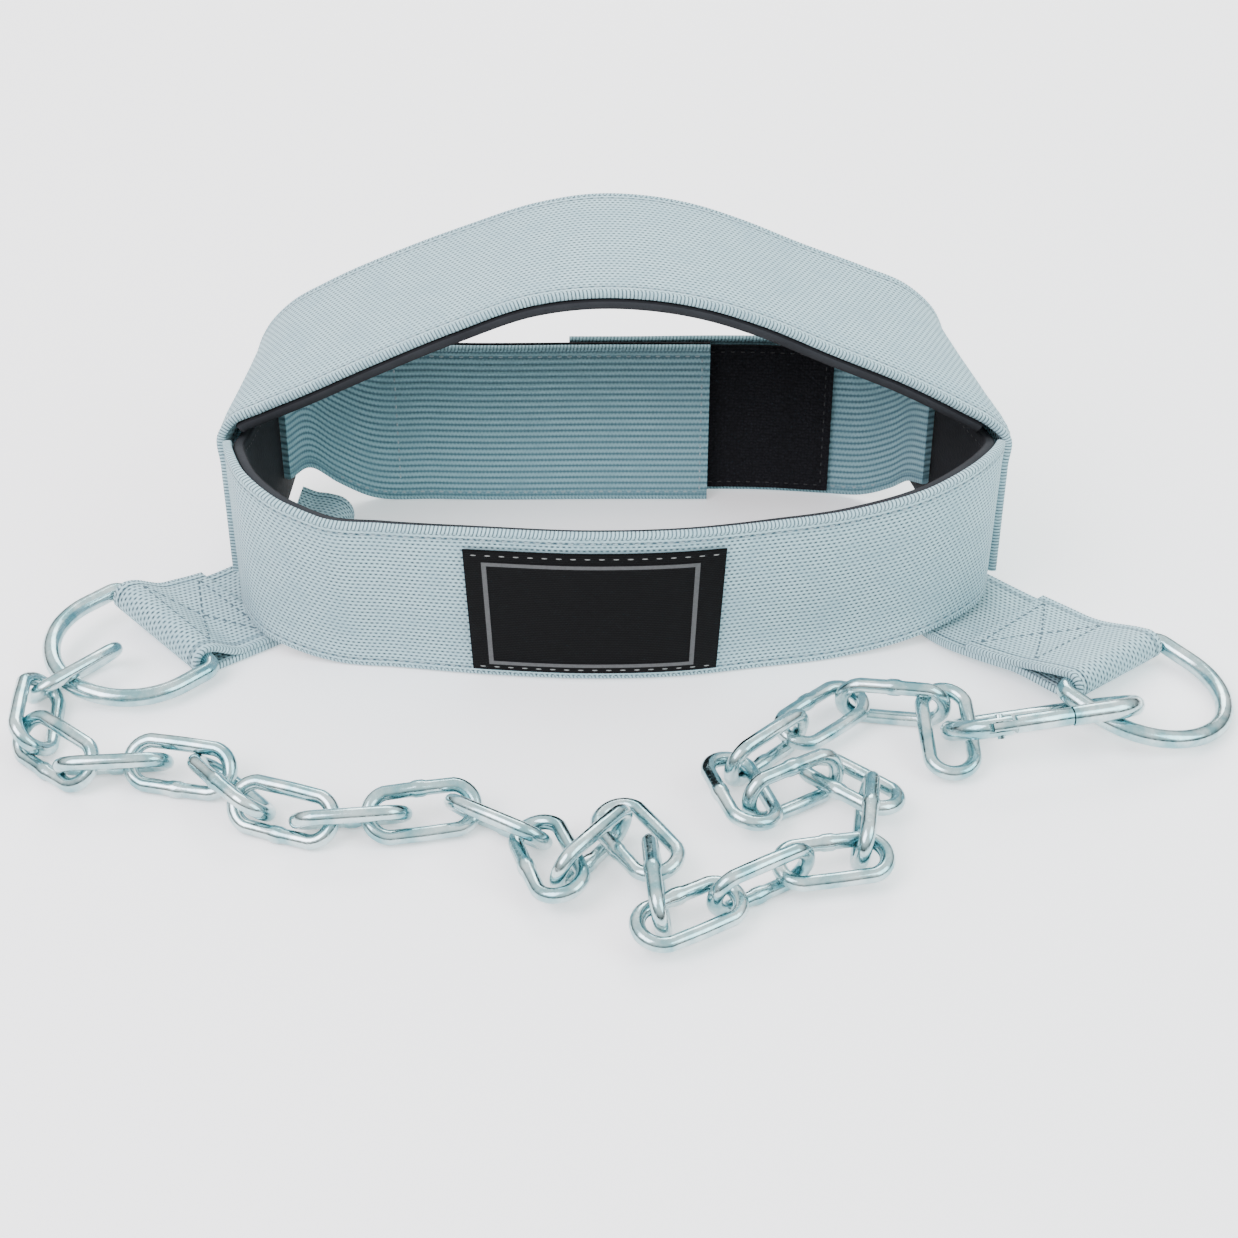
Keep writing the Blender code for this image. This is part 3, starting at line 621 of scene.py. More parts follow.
@dataclass(frozen=True)
class Wall:
    """Cross-section of a cloth wall: its thickness, its soft edges and its selvedge bead."""

    thickness: float
    bead: float = 0.0
    offset: float = 0.0
    edge_band: tuple[float, ...] = (0.0, 0.15, 0.5, 1.0, 1.5, 2.0)
    edge_rise: tuple[float, ...] = (-0.5, -0.14, 0.0, 0.0, 0.0, 0.0)
    bead_share: tuple[float, ...] = (0.0, 0.45, 0.95, 1.0, 0.35, 0.0)
    columns: int = 9

    def section(self, width: float) -> tuple[np.ndarray, np.ndarray, np.ndarray]:
        """Return the section across a width.

        Args:
            width: the cloth's width there.

        Returns:
            Distances from the low edge, lifts of the front face and lifts of the back face.
        """
        band = np.array(self.edge_band)
        rise = np.array(self.edge_rise) * self.thickness
        bead = np.array(self.bead_share) * self.bead
        middle = np.linspace(band[-1], width - band[-1], self.columns)[1:-1]
        flat = np.zeros(len(middle))
        distance = np.concatenate((band, middle, width - band[::-1]))
        front = np.concatenate((rise + bead, flat, (rise + bead)[::-1])) + self.offset
        back = self.offset - self.thickness - np.concatenate((rise, flat, rise[::-1]))
        return distance, front, back

    def make(self, name: str, surface: Surface) -> bpy.types.Object:
        """Make the closed wall of a surface, with its cloth map and edge field.

        Args:
            name: the piece's name.
            surface: the grid that its front face follows.

        Returns:
            The new object.
        """
        points, maps, edges, faces = [], [], [], []
        for row, width in enumerate(surface.widths):
            distance, front, back = self.section(width)
            share = np.clip(distance / width, 0.0, 1.0)
            count = len(distance)
            ring = [(k, front[k]) for k in range(count)]
            ring += [(k, back[k]) for k in range(count - 2, 0, -1)]
            for k, lift in ring:
                points.append(surface.row_point(row, share[k], lift))
                maps.append((surface.along[row], distance[k]))
                edges.append(min(distance[k], width - distance[k]))
        around = 2 * count - 2
        rows = len(surface.widths)
        for i in range(rows - 1):
            for j in range(around):
                k = (j + 1) % around
                faces.append((i * around + j, i * around + k, (i + 1) * around + k,
                              (i + 1) * around + j))
        for start, flip in ((0, True), ((rows - 1) * around, False)):
            for j in range(count - 1):
                back_j, back_k = (around - j) % around, around - j - 1
                face = [start + j, start + j + 1]
                face += [start + back_k] if j + 1 < count - 1 else []
                face += [start + back_j] if j > 0 else []
                faces.append(tuple(face[::-1] if flip else face))
        thing = mesh_object(name, np.array(points), faces)
        dress_map(thing, np.array(maps), np.array(edges))
        fix_normals(thing)
        return thing


def dress_map(thing: bpy.types.Object, maps: np.ndarray, edges: np.ndarray) -> None:
    """Store the cloth map in millimetres and the distance from the nearest edge."""
    layer = thing.data.uv_layers.new(name=CLOTH_MAP)
    owners = np.zeros(len(thing.data.loops), dtype=np.int32)
    thing.data.loops.foreach_get("vertex_index", owners)
    layer.data.foreach_set("uv", maps[owners].ravel().astype(np.float32))
    store = thing.data.attributes.new(EDGE_FIELD, "FLOAT", "POINT")
    store.data.foreach_set("value", edges.astype(np.float32))


def fix_normals(thing: bpy.types.Object) -> None:
    """Turn every face of a closed piece outwards."""
    only(thing)
    bpy.ops.object.mode_set(mode="EDIT")
    bpy.ops.mesh.select_all(action="SELECT")
    bpy.ops.mesh.normals_make_consistent(inside=False)
    bpy.ops.object.mode_set(mode="OBJECT")


@dataclass(frozen=True)
class Stitching:
    """Lock stitches of one seam: thread size, stitch length and pitch."""

    thread: float = 0.75
    stitch: float = 2.5
    pitch: float = 3.2
    sink: float = 0.12
    bow: float = 0.45
    step: float = 0.8
    look_ahead: float = 0.6

    def model(self) -> tuple[np.ndarray, list[tuple[int, ...]]]:
        """Return one stitch along X: a thread that bows out of the cloth and back in."""
        bpy.ops.object.select_all(action="DESELECT")
        bpy.ops.mesh.primitive_uv_sphere_add(segments=8, ring_count=6, radius=0.5,
                                             rotation=(0.0, math.pi / 2, 0.0))
        thing = bpy.context.object
        bpy.ops.object.transform_apply(location=False, rotation=True, scale=True)
        points = np.array([vertex.co for vertex in thing.data.vertices])
        points *= (self.stitch, self.thread, self.thread)
        points[:, 2] -= (np.abs(points[:, 0]) / self.stitch * 2) ** 2 * self.thread * self.bow
        faces = [tuple(face.vertices) for face in thing.data.polygons]
        bpy.data.objects.remove(thing, do_unlink=True)
        return points, faces

    def sew(self, name: str, surface: Surface, lines: list[Seam], lift: float) -> bpy.types.Object:
        """Sew seams on a surface.

        Args:
            name: the piece's name.
            surface: the cloth that the seams are on.
            lines: seams, each a list of (length along, distance from an edge).
            lift: height of the cloth's face above the surface, negative for its back face.

        Returns:
            All stitches as one object.
        """
        shape, pattern = self.model()
        points, faces = [], []
        out = 1.0 if lift >= 0 else -1.0
        for line in lines:
            for centre, ahead, normal in self.walk(surface, line, lift, out):
                side = unit(np.cross(normal, ahead))
                turn = np.stack((ahead, side, normal), axis=1)
                start = len(points) * len(shape)
                points.append(shape @ turn.T + centre)
                faces += [tuple(start + k for k in face) for face in pattern]
        return mesh_object(name, np.concatenate(points), faces)

    def walk(self, surface: Surface, line: Seam, lift: float,
             out: float) -> list[tuple[np.ndarray, np.ndarray, np.ndarray]]:
        """Return the centre, direction and outward normal of each stitch of one seam."""
        knots = np.array(line, dtype=float)
        samples = []
        for (u0, v0), (u1, v1) in zip(knots, knots[1:]):
            steps = max(int(math.hypot(u1 - u0, v1 - v0) / self.step), 2)
            for share in np.linspace(0.0, 1.0, steps, endpoint=False):
                samples.append((u0 + (u1 - u0) * share, v0 + (v1 - v0) * share))
        samples.append(tuple(knots[-1]))
        face = np.array([surface.at(u, v, lift - out * self.sink) for u, v in samples])
        above = np.array([surface.at(u, v, lift + out) for u, v in samples])
        reach = np.concatenate(([0.0], np.cumsum(np.linalg.norm(np.diff(face, axis=0), axis=1))))
        count = max(int(reach[-1] / self.pitch), 1)
        result = []
        for step in range(count):
            middle = (step + 0.5) * reach[-1] / count
            place = [np.array([np.interp(at, reach, face[:, k]) for k in range(3)])
                     for at in (middle - self.look_ahead, middle, middle + self.look_ahead)]
            top = np.array([np.interp(middle, reach, above[:, k]) for k in range(3)])
            ahead = unit(place[2] - place[0])
            normal = top - place[1]
            normal = unit(normal - ahead * np.dot(normal, ahead))
            result.append((place[1], ahead, normal))
        return result


@dataclass
class Plan:
    """Where the cloth lies: the same curves as the CAD straps, at finer steps."""

    half_width: float = 120.5
    depth: float = 104.0
    band_width: float = 60.0
    webbing: float = 2.4
    lining: float = 3.4
    layer_gap: float = 0.45
    crown_rise: float = 112.0
    crown_front: float = 43.0
    leg_gap: float = 0.2
    leg_drop: float = 5.0
    leg_ramp: float = 7.0
    strap_height: float = 59.0
    tab_width: float = 43.0
    tab_webbing: float = 2.0
    tab_curl: float = 6.5
    tab_tuck: float = 1.5
    tab_tuck_midway: float = 0.6
    tab_wall_gap: float = 5.0
    tab_return: float = 0.62
    tab_wrap: tuple[float, float] = (-95.0, 118.0)
    run_steps: int = 12
    curl_steps: int = 6
    wrap_steps: int = 8
    ring_wire: float = 5.0
    fit_gap: float = 0.35
    selvedge_bead: float = 0.2
    wall_columns: int = 13
    seam_inset: float = 3.3
    seam_margin: float = 3.0
    lining_seam_margin: float = 4.0
    cad_steps: int = 56
    fine_steps: int = 600
    shift: np.ndarray = field(default_factory=lambda: np.zeros(3))

    # Outer face of the forehead band at its bottom edge, from the left rear end round the
    # front: shares of half_width, depth and band_width, outward lean in degrees, and height.
    LOOP = (
        # across, back, lift, lean, height
        (-0.944, 0.955, 0.165, 0.0, 0.79),
        (-0.955, 0.800, 0.140, 0.0, 0.82),
        (-0.969, 0.640, 0.110, 0.0, 0.85),
        (-0.982, 0.480, 0.100, 0.0, 0.88),
        (-0.979, 0.350, 0.098, 0.2, 0.95),
        (-0.948, 0.235, 0.096, 1.2, 1.0),
        (-0.893, 0.140, 0.090, 3.5, 1.0),
        (-0.800, 0.085, 0.052, 8.0, 1.0),
        (-0.697, 0.066, 0.006, 11.0, 1.0),
        (-0.548, 0.048, 0.000, 11.5, 1.0),
        (-0.332, 0.013, 0.000, 10.5, 1.0),
        (-0.033, -0.010, 0.000, 10.5, 1.0),
        (0.166, 0.002, 0.000, 10.5, 1.0),
        (0.373, 0.046, 0.000, 10.5, 1.0),
        (0.581, 0.094, 0.004, 9.5, 1.0),
        (0.763, 0.146, 0.052, 8.0, 1.0),
        (0.880, 0.215, 0.090, 5.5, 1.0),
        (0.966, 0.320, 0.098, 2.0, 0.97),
        (0.996, 0.452, 0.100, 0.2, 0.89),
        (0.966, 0.610, 0.108, 0.0, 0.85),
        (0.921, 0.788, 0.130, 0.0, 0.82),
        (0.881, 0.952, 0.160, 0.0, 0.79),
    )
    # Crown band: place from side to side as a share of the leg's, middle height and rise from
    # the front edge to the rear one as shares of crown_rise.
    ARCH = (
        # across, height, tilt
        (-0.999, 0.530, -0.020),
        (-0.968, 0.588, 0.005),
        (-0.895, 0.648, 0.050),
        (-0.790, 0.706, 0.065),
        (-0.610, 0.797, 0.060),
        (-0.400, 0.892, 0.045),
        (-0.200, 0.968, 0.035),
        (-0.050, 0.992, 0.038),
        (0.100, 0.986, 0.038),
        (0.240, 0.958, 0.040),
        (0.370, 0.912, 0.045),
        (0.550, 0.830, 0.060),
        (0.740, 0.747, 0.080),
        (0.870, 0.680, 0.100),
        (0.965, 0.602, 0.070),
        (0.999, 0.535, 0.010),
    )
    LEGS = (0.17, 0.38, 0.60, 0.82)
    # Back strap's two halves: shares of half_width, depth and strap_height, and height.
    BACK_LEFT = (
        # across, back, lift, height
        (-0.884, 0.790, 0.345, 0.65),
        (-0.840, 0.912, 0.290, 0.72),
        (-0.775, 0.958, 0.140, 0.92),
        (-0.689, 0.982, 0.020, 1.00),
        (-0.500, 0.984, 0.000, 1.00),
        (0.000, 0.984, 0.000, 1.00),
        (0.266, 0.984, 0.000, 1.00),
    )
    BACK_RIGHT = (
        # across, back, lift, height
        (-0.120, 1.041, 0.000, 1.00),
        (0.000, 1.041, 0.000, 1.00),
        (0.450, 1.041, 0.000, 1.00),
        (0.600, 1.022, 0.000, 1.00),
        (0.700, 0.984, 0.030, 0.99),
        (0.770, 0.920, 0.140, 0.89),
        (0.812, 0.850, 0.270, 0.74),
        (0.846, 0.765, 0.340, 0.66),
    )
    # Tab's run on the floor: shares of half_width and depth, and heading in degrees.
    TAB_RUNS = {
        Side.LEFT: ((-0.790, 0.590, -4.0), (-0.870, 0.465, 22.0), (-0.960, 0.335, 42.0),
                    (-1.070, 0.230, 45.0)),
        Side.RIGHT: ((0.770, 0.530, -6.0), (0.860, 0.420, 22.0), (0.970, 0.275, 40.0),
                     (1.120, 0.110, 45.0)),
    }
    # D-ring's bar: shares of half_width, depth and tab_width, heading, roll and pitch, and leg.
    RINGS = {
        Side.LEFT: (-1.149, 0.154, 0.174, 45.0, 6.0, 1.4, 12.0),
        Side.RIGHT: (1.247, -0.046, 0.200, 46.0, -7.0, 7.5, 13.0),
    }

    def __post_init__(self) -> None:
        """Find how far the CAD model was moved to stand on its origin."""
        band = Surface(self.band_grid(self.cad_steps, 5))
        faces = np.concatenate((band.grid, band.grid - band.normals * self.webbing)).reshape(-1, 3)
        low, high = (np.array(corner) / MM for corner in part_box("front_band"))
        self.shift = (low + high) / 2 - (faces.min(axis=0) + faces.max(axis=0)) / 2
        LOG.info("frame shift %s mm", np.round(self.shift, 3))

    def loop_rows(self, count: int, first: float = 0.0,
                  last: float = 1.0) -> tuple[np.ndarray, np.ndarray, np.ndarray]:
        """Return bottom places, up directions and heights along the head loop."""
        scale = np.array([self.half_width, self.depth, self.band_width, 1.0, self.band_width])
        rows = smooth_rows(np.array(self.LOOP) * scale, count, first, last)
        along = np.gradient(rows[:, :2], axis=0)
        along /= np.linalg.norm(along, axis=1, keepdims=True)
        outward = np.column_stack((along[:, 1], -along[:, 0], np.zeros(count)))
        lean = np.radians(rows[:, 3])[:, None]
        return rows[:, :3], np.cos(lean) * UP + np.sin(lean) * outward, rows[:, 4]

    def band_grid(self, count: int, columns: int, inset: float = 0.0, dip: float = 0.0,
                  under_legs: bool = True) -> np.ndarray:
        """Return the forehead band's points, or its lining's with an inset and a dip."""
        place, up, height = self.loop_rows(count)
        top = place + up * height[:, None]
        under = np.clip((place[:, 1] - self.crown_front) / self.leg_ramp + 1.0, 0.0, 1.0)
        drop = self.leg_drop * under if under_legs else inset + dip * np.sin(
            math.pi * np.linspace(0.0, 1.0, count))
        high = top - up * drop[:, None]
        low = place + up * inset
        return np.stack([low + (high - low) * s for s in np.linspace(0, 1, columns)], axis=1)

    def fine_loop(self) -> np.ndarray:
        """Return the loop's bottom edge at fine steps."""
        return self.loop_rows(self.fine_steps)[0]

    def front_share(self, across: float) -> float:
        """Return the share of the loop's length at which its front is at a given X."""
        edge, quarter = self.fine_loop(), self.fine_steps // 4
        shares = np.linspace(0.0, 1.0, self.fine_steps)
        return float(np.interp(across, edge[quarter:-quarter, 0], shares[quarter:-quarter]))

    def side_wall(self, back: float, side: Side) -> float:
        """Return the X of the loop's outer face at a given Y."""
        edge, third = self.fine_loop(), self.fine_steps // 3
        stretch = edge[:third][::-1] if side is Side.LEFT else edge[-third:]
        return float(np.interp(back, stretch[:, 1], stretch[:, 0]))

    def crown_grid(self, count: int, columns: int) -> np.ndarray:
        """Return the crown band's points, legs and arch."""
        result = []
        for step in np.linspace(0.0, 1.0, columns):
            back = self.crown_front + self.band_width * step
            reach = {s: self.side_wall(back, s) + s.value * (self.webbing + self.leg_gap)
                     for s in Side}
            points = [(reach[Side.LEFT], back, share * self.band_width) for share in self.LEGS]
            for across, height, tilt in self.ARCH:
                leg = reach[Side.RIGHT] if across > 0 else reach[Side.LEFT]
                lift = (height + tilt * (step - 0.5)) * self.crown_rise
                points.append((leg * abs(across), back, lift))
            points += [(reach[Side.RIGHT], back, share * self.band_width)
                       for share in self.LEGS[::-1]]
            result.append(smooth_rows(np.array(points), count))
        return np.stack(result, axis=1)

    def strap_grid(self, table: tuple, count: int, columns: int, first: float = 0.0,
                   last: float = 1.0, low: float = 0.0, high: float = 1.0) -> np.ndarray:
        """Return a back strap's inner face between shares of its length and height."""
        scale = np.array([self.half_width, self.depth, self.strap_height, self.strap_height])
        rows = smooth_rows(np.array(table) * scale, count, first, last)
        return np.stack([rows[:, :3] + UP * rows[:, 3:] * share
                         for share in np.linspace(low, high, columns)], axis=1)

    def ring_frame(self, side: Side) -> tuple[np.ndarray, np.ndarray, np.ndarray, np.ndarray]:
        """Return a ring bar's middle and direction, and the ring's reach and outward way."""
        across, back, height, turn, roll, pitch, _ = self.RINGS[side]
        middle = np.array([across * self.half_width, back * self.depth, height * self.tab_width])
        outward = heading(-turn, side.value)
        rear = heading(90.0 - turn, side.value)
        bar = unit(rear * math.cos(math.radians(roll)) + UP * math.sin(math.radians(roll)))
        drop = outward * math.cos(math.radians(pitch)) - UP * math.sin(math.radians(pitch))
        return middle, bar, unit(drop - bar * np.dot(drop, bar)), outward

    def tab_grid(self, side: Side, columns: int, count: int) -> np.ndarray:
        """Return a tab's middle surface: curl under the loop, run, turn round the bar, return."""
        middle, _, _, outward = self.ring_frame(side)
        turn, roll = self.RINGS[side][3:5]
        steps, half = self.run_steps, self.tab_webbing / 2
        scale = np.array([self.half_width, self.depth, 1.0, 1.0])
        table = np.array([(a, b, 0.0, t) for a, b, t in self.TAB_RUNS[side]])
        run = smooth_rows(table * scale, steps)
        rolls = roll * np.linspace(0.0, 1.0, steps) ** 2
        lifts = half + np.sin(np.radians(np.abs(rolls))) * self.tab_width / 2
        start, first = np.array([*run[0][:2], half]), run[0][3]
        inward = heading(-first, side.value)
        wall = abs(self.side_wall(start[1], side)) - self.webbing - self.lining - 2 * self.layer_gap
        reach = wall - self.tab_wall_gap - half - abs(start[0])
        top = 2 * self.tab_curl + half
        rows = [(start + inward * reach + UP * (top + self.tab_tuck), first, 0.0),
                (start + inward * reach / 2 + UP * (top + self.tab_tuck_midway - half), first, 0.0)]
        for angle in np.linspace(90.0, 270.0, self.curl_steps):
            bend = heading(angle)
            lift = self.tab_curl * (1 + bend[1])
            rows.append((start + inward * bend[0] * self.tab_curl + UP * lift, first, 0.0))
        rows += [(np.array([*run[i][:2], lifts[i]]), run[i][3], rolls[i]) for i in range(1, steps)]
        radius = self.ring_wire / 2 + self.fit_gap + half
        for angle in np.linspace(*self.tab_wrap, self.wrap_steps):
            bend = heading(angle)
            rows.append((middle + (outward * bend[0] + UP * bend[1]) * radius, turn, roll))
        layer = self.tab_webbing + self.fit_gap
        for i in range(steps - 1, int(steps * self.tab_return), -1):
            rows.append((np.array([*run[i][:2], lifts[i] + layer]), run[i][3], rolls[i]))
        edges = []
        for place, way, tilt in rows:
            lean = math.radians(tilt)
            across = heading(90.0 - way, side.value) * math.cos(lean) + UP * math.sin(lean)
            reach_out = across * self.tab_width / 2 * side.value
            edges.append(np.concatenate((place - reach_out, place + reach_out)))
        fine = smooth_rows(np.array(edges), count)
        low, high = fine[:, :3], fine[:, 3:]
        return np.stack([low + (high - low) * s for s in np.linspace(0, 1, columns)], axis=1)

    def placed(self, grid: np.ndarray) -> Surface:
        """Return a grid as a surface in the frame."""
        return Surface(grid + self.shift)

    def band_wall(self) -> Wall:
        """Return the cross-section of the two wide bands."""
        return Wall(self.webbing, bead=self.selvedge_bead, columns=self.wall_columns)


@dataclass(frozen=True)
class Layer:
    """How a cloth piece is dressed: its finish and the CAD node that it stands for; its slot, how
    it is held and what it rests on are kept here but not used.
    """

    material: bpy.types.Material
    slot: Slot
    node: str
    held: str = "laid"
    rests_on: tuple[str, ...] = ()
    edge_material: bpy.types.Material | None = None

    def lay(self, name: str, surface: Surface, wall: Wall) -> None:
        """Make a cloth piece on a surface and dress it.

        Args:
            name: the piece's name.
            surface: the grid that its front face follows.
            wall: its cross-section.
        """
        thing = wall.make(name, surface)
        if self.edge_material:
            self.paint_edge(thing)
        hand_over(thing, self.material, (self.node,))

    def paint_edge(self, thing: bpy.types.Object) -> None:
        """Give the cut edges of a lining the foam's own colour."""
        thing.data.materials.append(self.material)
        thing.data.materials.append(self.edge_material)
        edge = thing.data.attributes[EDGE_FIELD].data
        for face in thing.data.polygons:
            near = max(edge[corner].value for corner in face.vertices)
            face.material_index = int(near < FOAM_EDGE_WIDTH)


def line_with_foam(name: str, surface: Surface, plan: Plan, stuff: Wardrobe, node: str,
                   webbing: str) -> None:
    """Build a foam lining behind a webbing band, with its two long seams.

    Args:
        name: the lining's name.
        surface: the webbing's front face over the lining's length.
        plan: the harness's plan.
        stuff: its materials.
        node: the CAD node that the lining stands for.
        webbing: the name of the band that it lies on.
    """
    behind = -(plan.webbing + plan.layer_gap)
    foam = Layer(stuff.lining, Slot.LINING, node, "laid", (webbing,), stuff.foam_edge)
    foam.lay(name, surface, Wall(plan.lining, offset=behind, edge_rise=FOAM_EDGE_RISE))
    rows = surface.edge_rows(plan.lining_seam_margin, plan.seam_inset)
    seams = Stitching(thread=0.6).sew(name + "_seams", surface, rows, behind - plan.lining)
    hand_over(seams, stuff.black_thread)


@dataclass
class ForeheadBand:
    """The band round the forehead with its lining and its label."""

    plan: Plan
    stuff: Wardrobe
    steps: int = 200
    columns: int = 9
    lining_inset: float = 0.8
    lining_dip: float = 2.0
    label_length: float = 74.0
    label_height: float = 50.3
    label_middle: float = -0.045
    label_drop: float = 0.36
    label_thickness: float = 0.8
    label_steps: int = 40
    label_edge_rise: tuple[float, ...] = (-0.6, -0.2, 0.0, 0.0, 0.0, 0.0)
    stitch_margin: float = 1.0
    stitch_from_top: float = 1.9
    stitch_from_bottom: float = 1.7
    frame_left: float = 5.2
    frame_right: float = 7.4
    frame_low: float = 2.9
    frame_high: float = 4.6
    frame_breadth: float = 1.4
    frame_rise: float = 0.12
    frame_sink: float = 0.05
    frame_step: float = 2.0

    def build(self) -> None:
        """Build and dress the band, the lining, the seams and the label."""
        plan, stuff = self.plan, self.stuff
        band = plan.placed(plan.band_grid(self.steps, self.columns))
        webbing = Layer(stuff.webbing, Slot.WEBBING, "front_band", "stretched")
        webbing.lay("forehead_webbing", band, plan.band_wall())
        lining = plan.placed(plan.band_grid(self.steps, self.columns, self.lining_inset,
                                            self.lining_dip, under_legs=False))
        line_with_foam("forehead_lining", lining, plan, stuff, "front_lining", "forehead_webbing")
        rows = band.edge_rows(plan.seam_margin, plan.seam_inset)
        seams = Stitching().sew("forehead_seams", band, rows, 0.0)
        hand_over(seams, stuff.thread)
        self.label()

    def label(self) -> None:
        """Build the label with its border and its stitches."""
        plan, stuff = self.plan, self.stuff
        middle = plan.front_share(self.label_middle * plan.half_width)
        edge = plan.fine_loop()
        half = self.label_length / 2 / np.linalg.norm(np.diff(edge, axis=0), axis=1).sum()
        place, up, _ = plan.loop_rows(self.label_steps, middle - half, middle + half)
        low = (plan.band_width - self.label_height) * self.label_drop
        columns = [place + up * (low + self.label_height * share)
                   for share in np.linspace(0, 1, self.columns)]
        patch = plan.placed(np.stack(columns, axis=1))
        face = plan.layer_gap + self.label_thickness
        cover = Layer(stuff.label, Slot.LABEL, "label", rests_on=("forehead_webbing",))
        cover.lay("plain_label", patch, Wall(self.label_thickness, offset=face,
                                             edge_rise=self.label_edge_rise))
        self.border(patch, face)
        near, far = self.stitch_margin, patch.length - self.stitch_margin
        rows = [[(near, -self.stitch_from_top), (far, -self.stitch_from_top)],
                [(far, self.stitch_from_bottom), (near, self.stitch_from_bottom)]]
        stitching = Stitching(thread=0.55, stitch=2.9, pitch=4.1)
        seams = stitching.sew("label_stitches", patch, rows, face)
        hand_over(seams, stuff.light_thread)

    def border(self, patch: Surface, face: float) -> None:
        """Build the label's plain woven frame, a flat ribbon just proud of it."""
        breadth = self.frame_breadth
        left, right = self.frame_left, patch.length - self.frame_right
        low, top = self.frame_low, patch.widths[0] - self.frame_high
        bars = ((left, right, top - breadth, top), (left, right, low, low + breadth),
                (left, left + breadth, low + breadth, top - breadth),
                (right - breadth, right, low + breadth, top - breadth))
        under, over = face - self.frame_sink, face + self.frame_rise
        points, faces = [], []
        for u0, u1, v0, v1 in bars:
            count = max(int((u1 - u0) / self.frame_step), 2)
            base = len(points)
            for u in np.linspace(u0, u1, count):
                points += [patch.at(u, v, lift)
                           for v, lift in ((v0, under), (v0, over), (v1, over), (v1, under))]
            for i in range(count - 1):
                for j in range(4):
                    k = (j + 1) % 4
                    faces.append((base + 4 * i + j, base + 4 * i + k, base + 4 * i + 4 + k,
                                  base + 4 * i + 4 + j))
            faces += [(base + 3, base + 2, base + 1, base),
                      tuple(base + 4 * (count - 1) + j for j in range(4))]
        thing = mesh_object("label_border", np.array(points), faces)
        fix_normals(thing)
        hand_over(thing, self.stuff.border, smooth=30.0)


@dataclass
class CrownBand:
    """The band over the head, its legs down both sides, and its lining."""

    plan: Plan
    stuff: Wardrobe
    steps: int = 200
    columns: int = 13
    lining_from: float = 1.08
    hem: float = 3.4
    hem_inset: float = 4.5

    def build(self) -> None:
        """Build and dress the band, its seams and its lining."""
        plan, stuff = self.plan, self.stuff
        crown = plan.placed(plan.crown_grid(self.steps, self.columns))
        webbing = Layer(stuff.webbing, Slot.WEBBING, "crown_band", "stretched")
        webbing.lay("crown_webbing", crown, plan.band_wall())
        rows = crown.edge_rows(plan.seam_margin, plan.seam_inset)
        for end in (self.hem, crown.length - self.hem):
            rows.append([(end, self.hem_inset), (end, crown.width - self.hem_inset)])
        hand_over(Stitching().sew("crown_seams", crown, rows, 0.0), stuff.thread)
        lowest = crown.grid[:, :, 2].min(axis=1) - plan.shift[2]
        above = np.where(lowest > self.lining_from * plan.band_width)[0]
        arch = slice(above[0], above[-1] + 1)
        lining = Surface(crown.grid[arch])
        lining.normals = crown.normals[arch]
        line_with_foam("crown_foam", lining, plan, stuff, "crown_lining", "crown_webbing")


